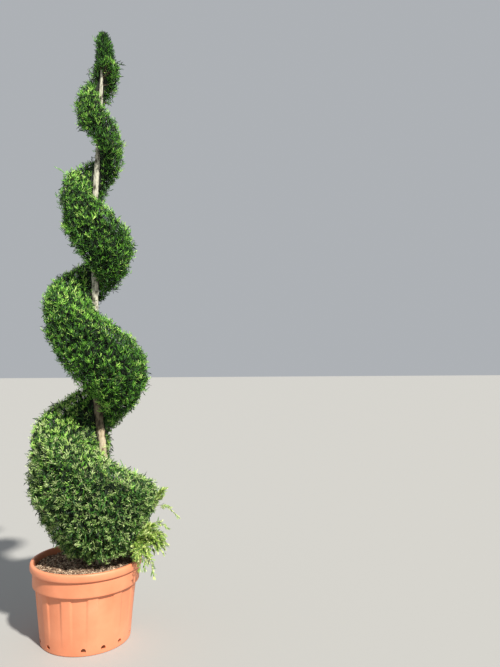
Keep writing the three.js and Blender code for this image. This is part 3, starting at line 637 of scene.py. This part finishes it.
def cut_drains(shell):
    """Arched notches through the wall, low down."""
    foot = -0.6  # of the arch, whose round top has a radius of 1
    arch = np.array([[math.cos(a), math.sin(a)] for a in np.linspace(0, math.pi, 13)])
    arch = np.concatenate([[[1, foot]], arch, [[-1, foot]]])
    count = len(arch)
    across = arch[:, 0] * DRAIN_WIDTH / 2
    height = DRAIN_SILL + DRAIN_HEIGHT * (arch[:, 1] - foot) / (1 - foot)
    outline = np.array([np.stack([across, 0 * across + y, height], -1)
                        for y in (-FOOT_RADIUS + 2 * WALL, -FOOT_RADIUS - 2 * WALL)]).reshape(-1, 3)
    mesh = bpy.data.meshes.new("drains")
    vertices, faces = [], []
    for i in range(DRAINS):
        if i % DRAIN_GROUP == DRAIN_GROUP - 1:
            continue
        a = math.radians(FIRST_DRAIN) + TURN * i / DRAINS
        turned = np.array([[math.cos(a), -math.sin(a), 0], [math.sin(a), math.cos(a), 0], [0, 0, 1]])
        start = len(vertices)
        vertices.extend((outline @ turned.T).tolist())
        faces.extend((grid_faces(2, count) + start).tolist())
        faces.append((start + np.arange(count)[::-1]).tolist())
        faces.append((start + count + np.arange(count)).tolist())
    mesh.from_pydata(vertices, [], faces)
    cutter = bpy.data.objects.new("drains", mesh)
    bpy.context.scene.collection.objects.link(cutter)
    cut = shell.modifiers.new("drains", "BOOLEAN")
    cut.operation = "DIFFERENCE"
    cut.solver = "EXACT"
    cut.object = cutter
    with bpy.context.temp_override(object=shell):
        bpy.ops.object.modifier_apply(modifier=cut.name)
    bpy.data.objects.remove(cutter)
    bpy.data.meshes.remove(mesh)


def soil_height(x, y):
    r = np.hypot(x, y)
    drop = (SOIL_TOP - SOIL_EDGE) * ease(SOIL_LEVEL_RADIUS, RIM_RADIUS - 0.02, r)
    points = np.stack([x, y, 0 * x], -1)
    swell_height, grain_height = 0.004, 0.0015
    swells = swell_height * ripples(points, 0.09, 11)
    return SOIL_TOP - drop - swell_height + swells + grain_height * ripples(points, 0.02, 12)


def make_soil():
    rows, columns = 70, 240
    r = np.linspace(0.0005, SOIL_RADIUS, rows)[:, None]
    a = np.linspace(0, TURN, columns, endpoint=False)[None, :]
    x, y = r * np.sin(a), -r * np.cos(a)
    tops = np.stack([x, y, soil_height(x, y)], -1)[::-1].reshape(-1, 3)
    sides = [[z, (radius - SOIL_GAP) / SOIL_RADIUS] for z, radius in INSIDE[:0:-1]]
    sides[0][0] += SOIL_GAP / 2
    walls = [tops[:columns] * [share, share, 0] + [0, 0, z] for z, share in sides]
    vertices = np.concatenate([*walls, tops])
    under = np.arange(columns)[::-1]
    middle = len(vertices) - columns + np.arange(columns)
    faces = grid_faces(rows + len(sides), columns)
    piece("soil_bed", vertices, faces, [SOIL], "soil", ["soil"], smooth=True, caps=[under, middle])
    make_chips()


def make_chips():
    """Bark chips that lie loose on the soil."""
    rng = np.random.default_rng(21)
    r = (RIM_RADIUS - 0.030) * np.sqrt(rng.uniform(0.01, 1, CHIP_COUNT))
    a = rng.uniform(0, TURN, CHIP_COUNT)
    x, y = r * np.sin(a), -r * np.cos(a)
    clear = np.hypot(x - trunk_x(SOIL_TOP), y) > TRUNK_FOOT_RADIUS + ROOT_FLARE
    x, y = x[clear], y[clear]
    count = len(x)
    size = np.stack([rng.uniform(*least_and_most, count) for least_and_most in CHIP_SIZES], -1)
    box = np.array([[u, v, w] for w in (-0.5, 0.5) for v in (-0.5, 0.5) for u in (-0.5, 0.5)])
    corners = box[None] * size[:, None] * rng.uniform(0.6, 1.1, (count, 8, 1))
    ahead = unit(np.stack([*rng.normal(size=(2, count)), 0.3 * rng.normal(size=count)], -1))
    over = unit(UP + 0.35 * rng.normal(size=(count, 3)))
    across = unit(np.cross(over, ahead))
    over = np.cross(ahead, across)
    centre = np.stack([x, y, soil_height(x, y) + size[:, 2] * rng.uniform(0.3, 1.2, count)], -1)
    axes = (ahead, across, over)
    points = centre[:, None] + sum(corners[..., k, None] * axis[:, None] for k, axis in enumerate(axes))
    sides = np.array([[0, 2, 3, 1], [4, 5, 7, 6], [0, 1, 5, 4], [2, 6, 7, 3], [0, 4, 6, 2], [1, 3, 7, 5]])
    faces = sides[None] + (8 * np.arange(count))[:, None, None]
    kinds = np.repeat(rng.choice(len(CHIPS), count, p=CHIP_SHARES), len(sides))
    piece("soil_chips", points.reshape(-1, 3), faces.reshape(-1, 4), CHIPS, "soil", ["soil"], kinds)


# Trunk, boughs and twigs


def bark_relief(points, turn, height):
    """How far the bark stands out: long strips that peel, and knots where twigs were cut off."""
    strips = points * [1, 1, 0.12]
    out = STRIP_RELIEF * ripples(strips, 0.022, 31)
    out = out + GRAIN_RELIEF * ripples(points * [1, 1, 0.35], 0.009, 32)
    rng = np.random.default_rng(33)
    for _ in range(KNOTS):
        spot, z = rng.uniform(), rng.uniform(SOIL_TOP + 0.05, TRUNK_TOP - 0.1)
        round_way = (turn - spot + 0.5) % 1 - 0.5
        wide = trunk_radius(z)
        near = (round_way * TURN * wide / (0.3 * wide + 0.003)) ** 2
        near = near + ((height - z) / (0.3 * wide + 0.004)) ** 2
        out = out + rng.uniform(*KNOT_HEIGHTS) * wide * np.exp(-near)
    return out


def make_trunk():
    rows, columns = 620, 40
    height = np.linspace(SOIL_TOP - TRUNK_SINK, TRUNK_TOP, rows)[:, None]
    turn = np.linspace(0, 1, columns, endpoint=False)[None, :]
    height, turn = np.broadcast_arrays(height, turn)
    roots = ROOT_RIDGE * np.exp((SOIL_TOP - height) / FLARE_HEIGHT) * np.cos(ROOTS * TURN * turn + 1)
    smooth = trunk_radius(height) * (1 + roots)
    relief = bark_relief(place(turn, smooth, height), turn, height)
    points = place(turn, smooth + relief * np.clip(smooth / 0.02, 0.3, 1), height).reshape(-1, 3)
    foot, end = np.arange(columns)[::-1], (rows - 1) * columns + np.arange(columns)
    level = height[:-1] + BARK_EDGE * ripples(place(turn, smooth, height)[:-1], 0.03, 34)
    kinds = np.where(level > GREY_FROM, 1, np.where(level > KNOTS_AND_SHADE_FROM, 2, 0)).ravel()
    kinds = np.concatenate([kinds, [0, 1]])
    piece("trunk_bark", points, grid_faces(rows, columns), [BARK, GREY_BARK, KNOTS_AND_SHADE_BARK], "bark", ["trunk"],
          kinds, smooth=True, caps=[foot, end])


def bough_line():
    first = np.array([trunk_x(BOUGH_START_HEIGHT), 0, BOUGH_START_HEIGHT])
    last = np.array(BOUGH_END)
    return first, (first + last) / 2 - BOUGH_SAG * UP, last


def make_limbs():
    """The low bough, and the branches that carry the clipped masses, kept inside them."""
    rng = np.random.default_rng(41)
    line = [point[None] for point in bough_line()]
    low = tubes(*line, [BOUGH_RADII[0]], [BOUGH_RADII[1]], sides=12, steps=14)
    piece("low_bough_bark", *low, [BARK], "bark", ["bough_low_right"], smooth=True)
    turn = rng.uniform(GROOVE_START, GROOVE_END + 1, BRANCHES)
    top, bottom = lobe_ends(turn)
    height = groove_height(turn - 1 + mix(top, bottom, rng.uniform(*BRANCH_HEIGHTS, BRANCHES)))
    keep = height > SOIL_TOP + 0.05
    turn, height = turn[keep], height[keep]
    distance = reach(turn, height)
    root_height = np.maximum(height - 0.02 - BRANCH_RISE * distance, SOIL_TOP + 0.03)
    starts = place(turn, 0.4 * trunk_radius(root_height), root_height)
    end_turn = turn + rng.normal(scale=BRANCH_STRAY, size=len(turn))
    ends = place(end_turn, BRANCH_REACH * distance, height)
    bends = mix(starts, ends, 0.5) - 0.01 * UP
    thick = trunk_radius(root_height) * rng.uniform(*BRANCH_THICKNESS, len(turn))
    made = tubes(starts, bends, ends, thick, 0.4 * thick, sides=6, steps=6)
    piece("branches", *made, [TWIG_BARK], "bark", ["trunk"], smooth=True)


# Sprigs


def sprig_shape(seed, leaves, long, wide, opening, flat):
    """A shoot of unit length with small leaves round it: quads as points along, across and over.

    The leaves open by the first angle at its foot and the second at its tip, and lie in one plane as far
    as flat says, from 0 to 1.
    """
    rng = np.random.default_rng(seed)
    quads = [[[0, 0, 0], [0.6, 0.7 * wide, 0.03], [1, 0, 0], [0.6, -0.7 * wide, 0.03]]]
    for k in range(leaves):
        u = 0.08 + 0.62 * k / (leaves - 1)
        spin = k * SPIN + rng.normal(scale=0.25)
        side = np.array([0, math.cos(spin), (1 - flat) * math.sin(spin)])
        side /= np.linalg.norm(side)
        open_way = math.radians(mix(*opening, u)) + rng.normal(scale=0.06)
        ahead = math.cos(open_way) * np.array([1, 0, 0]) + math.sin(open_way) * side
        edge = np.cross(side, [1, 0, 0])
        if flat > 0.5:
            edge = np.cross(edge, ahead)
        length = mix(long, 0.7 * long, u) * rng.uniform(0.85, 1.15)
        root = np.array([u - 0.02, 0, 0])
        middle = root + 0.5 * length * ahead
        quads.append([root, middle + wide * edge, root + length * ahead, middle - wide * edge])
    return np.array(quads, float)


SPRIGS = [
    sprig_shape(seed, leaves=4, long=0.48, wide=0.052, opening=(20, 11), flat=0.3) for seed in range(51, 59)
]
FRONDS = [
    sprig_shape(seed, leaves=11, long=0.32, wide=0.030, opening=(30, 16), flat=0.7) for seed in range(61, 65)
]


def grow(shapes, roots, ahead, over, lengths, rng):
    """Copies of the shapes at their roots, as their quads' points in the order of the roots."""
    ahead = unit(ahead)
    across = unit(np.cross(over, ahead))
    over = np.cross(ahead, across)
    kinds = rng.integers(len(shapes), size=len(roots))
    local = np.stack(shapes)[kinds].reshape(len(roots), -1, 3) * lengths[:, None, None]
    axes = (ahead, across, over)
    return roots[:, None] + sum(local[..., k, None] * axis[:, None] for k, axis in enumerate(axes))


def clumps(heads, axis, depth, rng):
    """Sprigs that fan out of each clump's base to a dome under its head: roots, ways and lengths."""
    count = len(heads)
    depth = np.broadcast_to(depth, count)
    bases = heads - axis * depth[:, None]
    shape = (count, CLUMP_SPRIGS)
    aside = unit(np.cross(axis, np.where(np.abs(axis[:, 2:]) > 0.9, [1.0, 0.0, 0.0], UP)))
    other = np.cross(axis, aside)
    number = np.arange(CLUMP_SPRIGS)
    spin = rng.uniform(0, TURN, (count, 1)) + number * SPIN + rng.normal(scale=0.3, size=shape)
    lean = CLUMP_FAN * np.sqrt((number + 0.3) / CLUMP_SPRIGS) * rng.uniform(0.75, 1.2, shape)
    round_way = np.cos(spin)[..., None] * aside[:, None] + np.sin(spin)[..., None] * other[:, None]
    ways = unit(axis[:, None] + lean[..., None] * round_way)
    start = rng.uniform(0, 0.25, shape)
    roots = bases[:, None] + (start * depth[:, None])[..., None] * axis[:, None]
    lengths = depth[:, None] * (1.02 - start) * (1 - 0.28 * lean**2) * rng.uniform(0.8, 1.04, shape)
    return roots.reshape(-1, 3), ways.reshape(-1, 3), lengths.ravel(), lean.ravel()


def add_sprays(name, node, points, kinds, looks):
    """Joins sprigs into as few pieces as the limit on faces allows."""
    leaves = points.shape[1] // 4
    parts = math.ceil(len(points) * leaves / MOST_FACES)
    for part in range(parts):
        chosen = points[part::parts]
        label = f"{name}_sprays" + (f"_{'abcdef'[part]}" if parts > 1 else "")
        piece(label, chosen.reshape(-1, 3), sprig_faces(chosen), looks, "foliage", [node],
              np.repeat(kinds[part::parts], leaves))


def shades_of(tone, looks):
    return np.clip(np.round(tone), 0, len(looks) - 1).astype(int)


def along_and_out(normals, out, up, rng, stray):
    """Ways that lean out of the surface and up along it, each with a stray of its own."""
    uphill = unit(UP + 0.4 * normals)
    uphill = unit(uphill - np.sum(uphill * normals, -1, keepdims=True) * normals)
    way = out[:, None] * normals + up[:, None] * uphill
    return unit(way + stray[:, None] * rng.normal(size=normals.shape))


def trunk_clear(points, room):
    """Whether points keep at least that room from the trunk."""
    away = np.hypot(points[:, 0] - trunk_x(points[:, 2]), points[:, 1])
    return (away > trunk_radius(points[:, 2]) + room) | (points[:, 2] > TRUNK_TOP)


def sprays_of(first, last, name, seed):
    """The fine foliage of one clipped mass, with its colours dealt out by spray."""
    rng = np.random.default_rng(seed)
    area = surface_area(first, last)
    count = int(CLUMPS_PER_AREA * area)
    spots, normals = surface_samples(first, last, count, rng)
    low = ease(*BASE_HEIGHTS, spots[:, 2])
    axis = along_and_out(normals, mix(*CLUMP_OUT, low), mix(*CLUMP_UP, low), rng, mix(*CLUMP_STRAY, low))
    uneven = UNEVENNESS * ripples(spots, 0.07, 72)
    below = rng.uniform(*CLUMP_BELOW, count)
    stray = rng.uniform(size=count) < LONG_SHARE
    below = np.where(stray, -rng.uniform(*LONG_OUT, count), below)
    heads = spots + normals * (uneven - below)[:, None]
    depth = np.minimum(CLUMP_DEPTH, 0.8 * np.hypot(spots[:, 0] - trunk_x(spots[:, 2]), spots[:, 1]))
    depth = depth * rng.uniform(0.8, 1.2, count) + 0.012 * stray
    bases = heads - axis * depth[:, None]
    clear = trunk_clear(heads, 0.012) & trunk_clear(bases, 0.002)
    clear &= (heads[:, 2] > SOIL_TOP + 0.014) & (bases[:, 2] > SOIL_TOP + 0.008)
    heads, axis, depth, normals, spots, low = (v[clear] for v in (heads, axis, depth, normals, spots, low))
    count = len(heads)
    roots, ways, lengths, lean = clumps(heads, axis, depth, rng)
    over = np.repeat(normals + 0.3 * UP, CLUMP_SPRIGS, 0) + 0.45 * rng.normal(size=ways.shape)
    points = grow(SPRIGS, roots, ways, over, lengths, rng)
    # Tone: lighter on upward faces and darker on downward ones, as painted light and shade; paler low down,
    # partly the base's own paler foliage and partly painted light from the floor below; lighter for clumps
    # standing out and darker for sunk ones and for sprigs low on a clump's sides, as painted light and
    # shade; the ripples and the rest at random.
    tone = 2.15 + 1.1 * low + 0.7 * normals[:, 2] + 0.4 * ripples(spots, 0.11, 73)
    tone = tone + 30 * (0.001 - below[clear]) + rng.normal(scale=0.4, size=count)
    tone = np.repeat(tone, CLUMP_SPRIGS) - 0.4 * lean + rng.normal(scale=0.95, size=len(roots))
    sage = np.repeat(rng.uniform(size=count) < ease(*SAGE_HEIGHTS, spots[:, 2]), CLUMP_SPRIGS)
    shades = shades_of(tone, GREENS) + len(GREENS) * sage
    inner_points, inner_shades = inner_sprays(first, last, int(INNER_PER_AREA * area), rng)
    points, shades = np.concatenate([points, inner_points]), np.concatenate([shades, inner_shades])
    add_sprays(name, name, points, shades, GREENS + SAGES)
    sunk = 0.012 + 0.02 * stray[clear]
    starts = (heads - axis * (1.2 * depth)[:, None] - normals * sunk[:, None])[::2]
    ends = (heads - axis * (0.7 * depth)[:, None])[::2]
    thick = np.full(len(starts), TWIG_RADIUS)
    bends = mix(starts, ends, 0.5) - 0.002 * UP
    twigs = tubes(starts, bends, ends, thick, 0.5 * thick, sides=3, steps=2)
    piece(f"{name}_twigs", *twigs, [TWIG_BARK], "bark", [name])


def inner_sprays(first, last, count, rng):
    """Darker sprigs under the outer ones, which hide the twigs and the dense inside; their dark greens are
    painted shade.
    """
    spots, normals = surface_samples(first, last, count, rng)
    way = along_and_out(normals, np.full(count, 0.35), np.full(count, 0.6), rng, np.full(count, 0.5))
    tips = spots - normals * rng.uniform(*INNER_BELOW, count)[:, None]
    lengths = INNER_LENGTH * rng.uniform(0.8, 1.2, count)
    roots = tips - way * lengths[:, None]
    clear = trunk_clear(tips, 0.003) & trunk_clear(roots, 0.0)
    clear &= np.minimum(tips[:, 2], roots[:, 2]) > SOIL_TOP + 0.010
    over = normals + 0.4 * rng.normal(size=(count, 3))
    points = grow(SPRIGS, roots[clear], way[clear], over[clear], lengths[clear], rng)
    return points, shades_of(0.5 + rng.normal(scale=0.6, size=len(points)), GREENS)


def make_strays():
    """A few long shoots that stand out of the clipped surface."""
    rng = np.random.default_rng(95)
    starts, ends = np.array(STRAYS).transpose(1, 0, 2)
    sprigs = 5  # one behind the other
    s = np.tile(np.linspace(0, 0.62, sprigs), len(starts))[:, None]
    a, b = np.repeat(starts, sprigs, 0), np.repeat(ends, sprigs, 0)
    ways = unit(b - a) + 0.16 * rng.normal(size=a.shape)
    lengths = np.linalg.norm(b - a, axis=-1) * 0.42
    points = grow(SPRIGS, mix(a, b, s), ways, rng.normal(size=ways.shape), lengths, rng)
    nodes = ["foliage_spiral_04", "foliage_spiral_03", "foliage_tip", "foliage_base_10"]
    kinds = np.repeat(rng.integers(2, 4, len(points)), points.shape[1] // 4)
    piece("stray_sprays", points.reshape(-1, 3), sprig_faces(points), GREENS, "foliage", nodes, kinds)


def make_shade_core():
    """The dense dark inside of the clipped masses, behind the sprigs: a sheet whose dark colour is painted
    shade.
    """
    levels, steps = 25, 460
    turns = np.linspace(GROOVE_START + 1e-5, GROOVE_END + 1 - 1e-5, steps)[:, None]
    downs = (1 - np.cos(math.pi * np.linspace(0, 1, levels)))[None, :] / 2
    turns, downs = np.broadcast_arrays(turns, downs)
    top, bottom = lobe_ends(turns)
    pull = np.minimum(0.1, 0.3 * (bottom - top))  # turns of the groove, in from the lobe's ends
    height = groove_height(turns - 1 + mix(top + pull, bottom - pull, downs))
    surface = reach(turns, groove_height(turns - 1 + mix(top, bottom, downs)))
    inside = trunk_radius(height) + CORE_GAP
    distance = np.maximum(surface - np.minimum(CORE_INSET, 0.5 * surface), inside)
    back = place(turns, inside, height)[:, ::-1][:, ::4]
    rings = np.concatenate([place(turns, distance, height), back], 1)
    columns = rings.shape[1]
    start, end = np.arange(columns)[::-1], (steps - 1) * columns + np.arange(columns)
    piece("painted_shade_core", rings.reshape(-1, 3), grid_faces(steps, columns), [SHADE_CORE], "foliage", NAMES,
          smooth=True, caps=[start, end])


def make_tip():
    """The leader's soft tuft."""
    rng = np.random.default_rng(81)
    rows = np.array(TIP_SHAPE)
    number = np.arange(TIP_CLUMPS)
    rise = (number + 0.5) / TIP_CLUMPS
    height = mix(rows[0, 0], rows[-1, 0], rise)
    turn = number * GOLDEN_TURN
    outward = place(turn, 1.0, height) - place(turn, 0.0, height)
    middle = np.stack([along(rows[:, [0, 2]], height), 0 * height, height], -1)
    radius = along(rows[:, :2], height) * rng.uniform(0.8, 1.05, TIP_CLUMPS)
    heads = middle + radius[:, None] * outward
    axis = unit(mix(0.8, 0.2, rise)[:, None] * outward + UP + 0.2 * rng.normal(size=outward.shape))
    depth = TIP_DEPTH * rng.uniform(0.85, 1.15, TIP_CLUMPS)
    roots, ways, lengths, lean = clumps(heads, axis, depth, rng)
    over = np.repeat(outward, CLUMP_SPRIGS, 0) + 0.45 * rng.normal(size=ways.shape)
    points = grow(SPRIGS, roots, ways, over, lengths, rng)
    # Sprigs low on a clump's sides are darker, as painted shade; the rest of the tone is at random.
    tone = np.repeat(1.1 + rng.normal(scale=0.75, size=TIP_CLUMPS), CLUMP_SPRIGS) - 0.5 * lean
    shades = shades_of(tone + rng.normal(scale=0.5, size=len(lean)), GREENS)
    add_sprays("tip", "foliage_tip", points, shades, GREENS)
    # A dark core inside the tuft, whose colour is painted shade.
    a = np.linspace(0, TURN, TIP_SIDES, endpoint=False)
    ring = TIP_INSIDE * np.stack([np.sin(a), -np.cos(a), 0 * a], -1)
    rings = [[x, 0, z] + r * ring for z, r, x in TIP_SHAPE[:-1]]
    foot = np.arange(TIP_SIDES)[::-1]
    end = (len(rings) - 1) * TIP_SIDES + np.arange(TIP_SIDES)
    piece("tip_painted_shade_core", np.concatenate(rings), grid_faces(len(rings), TIP_SIDES), [SHADE_CORE], "foliage",
          ["foliage_tip"], smooth=True, caps=[foot, end])


def make_tuft():
    """The unclipped shoots low on the right: each arches over and carries flat drooping sprays."""
    rng = np.random.default_rng(91)
    _, bend, last = bough_line()
    ahead = unit(last - bend)
    ends, bends, bare = [], [], []
    for tip, bend, leafy, copies in TUFT_SHOOTS:
        for k in range(copies):
            shift = (k > 0) * (rng.normal(scale=SHOOT_SPREAD, size=3) - 0.008 * ahead)
            ends.append(tip + shift)
            bends.append(bend + 0.6 * shift)
            bare.append(leafy)
    ends, bends = np.array(ends), np.array(bends)
    count = len(ends)
    starts = np.repeat((last - 0.008 * ahead)[None], count, 0)
    thick, thin = (np.full(count, radius) for radius in SHOOT_RADII)
    shoots = tubes(starts, bends, ends, thick, thin, sides=5, steps=10)
    piece("tuft_shoots", *shoots, [TWIG_BARK], "bark", ["foliage_unclipped_tuft"], smooth=True)
    s = mix(np.array(bare)[:, None, None], 1, rng.uniform(size=(count, SHOOT_SPRAYS, 1)) ** 0.8)
    s[:, :len(SHOOT_END_SPRAYS), 0] = SHOOT_END_SPRAYS
    a, b, c = starts[:, None], bends[:, None], ends[:, None]
    roots = (1 - s) ** 2 * a + 2 * s * (1 - s) * b + s * s * c
    run = unit(2 * (1 - s) * (b - a) + 2 * s * (c - b))
    side = unit(np.cross(run, UP)) * np.where(rng.uniform(size=s.shape) < 0.5, 1, -1)
    way = unit(mix(0.4, 1.6, s**6) * run + rng.uniform(0.2, 1.0, s.shape) * side
               + rng.uniform(-0.6, 0.6, s.shape) * UP + 0.25 * rng.normal(size=run.shape))
    lengths = (FROND_LENGTH * rng.uniform(*FROND_SIZES, s.shape) * mix(1.15, 0.7, s)).reshape(-1)
    over = UP + [0.2, -0.6, 0] + 0.4 * rng.normal(size=way.shape)
    points = grow(FRONDS, roots.reshape(-1, 3), way.reshape(-1, 3), over.reshape(-1, 3), lengths, rng)
    kinds = np.repeat(rng.choice(len(YOUNG), len(points), p=YOUNG_SHARES), points.shape[1] // 4)
    piece("tuft_sprays", points.reshape(-1, 3), sprig_faces(points), YOUNG, "foliage_young",
          ["foliage_unclipped_tuft"], kinds)


# Studio

FLOOR = 60.0  # half its width
SKY = (0.84, 0.88, 0.93, 1)
SKY_STRENGTH = 0.5
SUN_STRENGTH = 6.3
SUN_WIDTH = 3  # degrees, as the other angles here
SUN_COLOUR = (1.0, 0.955, 0.88)
SUN_RIGHT = 22
SUN_UP = 46
CAMERA_PLACE = (0, -3.497, 1.501)
CAMERA_UP = 2.814
CAMERA_RIGHT = 14.948
LENS = 32.38  # millimetres, on a sensor 36 wide


def make_studio():
    floor = bpy.data.meshes.new("floor")
    corners = [[-FLOOR, -FLOOR, 0], [FLOOR, -FLOOR, 0], [FLOOR, FLOOR, 0], [-FLOOR, FLOOR, 0]]
    floor.from_pydata(corners, [], [[0, 1, 2, 3]])
    floor.materials.append(material("floor_paint", (0.36, 0.36, 0.35), 0.8))
    ground = bpy.data.objects.new("floor", floor)
    bpy.context.scene.collection.objects.link(ground)
    world = bpy.data.worlds.new("studio")
    world.use_nodes = True
    world.node_tree.nodes["Background"].inputs["Color"].default_value = SKY
    world.node_tree.nodes["Background"].inputs["Strength"].default_value = SKY_STRENGTH
    bpy.context.scene.world = world
    key = bpy.data.lights.new("key", "SUN")
    key.energy = SUN_STRENGTH
    key.angle = math.radians(SUN_WIDTH)
    key.color = SUN_COLOUR
    lamp = bpy.data.objects.new("key", key)
    right, up = math.radians(SUN_RIGHT), math.radians(SUN_UP)
    toward = Vector((math.sin(right) * math.cos(up), -math.cos(right) * math.cos(up), math.sin(up)))
    lamp.rotation_euler = toward.to_track_quat("Z", "Y").to_euler()
    bpy.context.scene.collection.objects.link(lamp)


def make_camera():
    lens = bpy.data.cameras.new("camera")
    lens.sensor_width = 36
    lens.lens = LENS
    camera = bpy.data.objects.new("camera", lens)
    camera.location = CAMERA_PLACE
    camera.rotation_euler = (math.radians(90 + CAMERA_UP), 0, math.radians(-CAMERA_RIGHT))
    bpy.context.scene.collection.objects.link(camera)
    bpy.context.scene.camera = camera
    bpy.context.scene.view_settings.view_transform = "Standard"


make_pot()
make_soil()
make_trunk()
make_limbs()
make_shade_core()
for i, mass in enumerate(NAMES):
    sprays_of(MASS_ENDS[i], MASS_ENDS[i + 1], mass, seed=100 + i)
make_strays()
make_tip()
make_tuft()
make_studio()
make_camera()
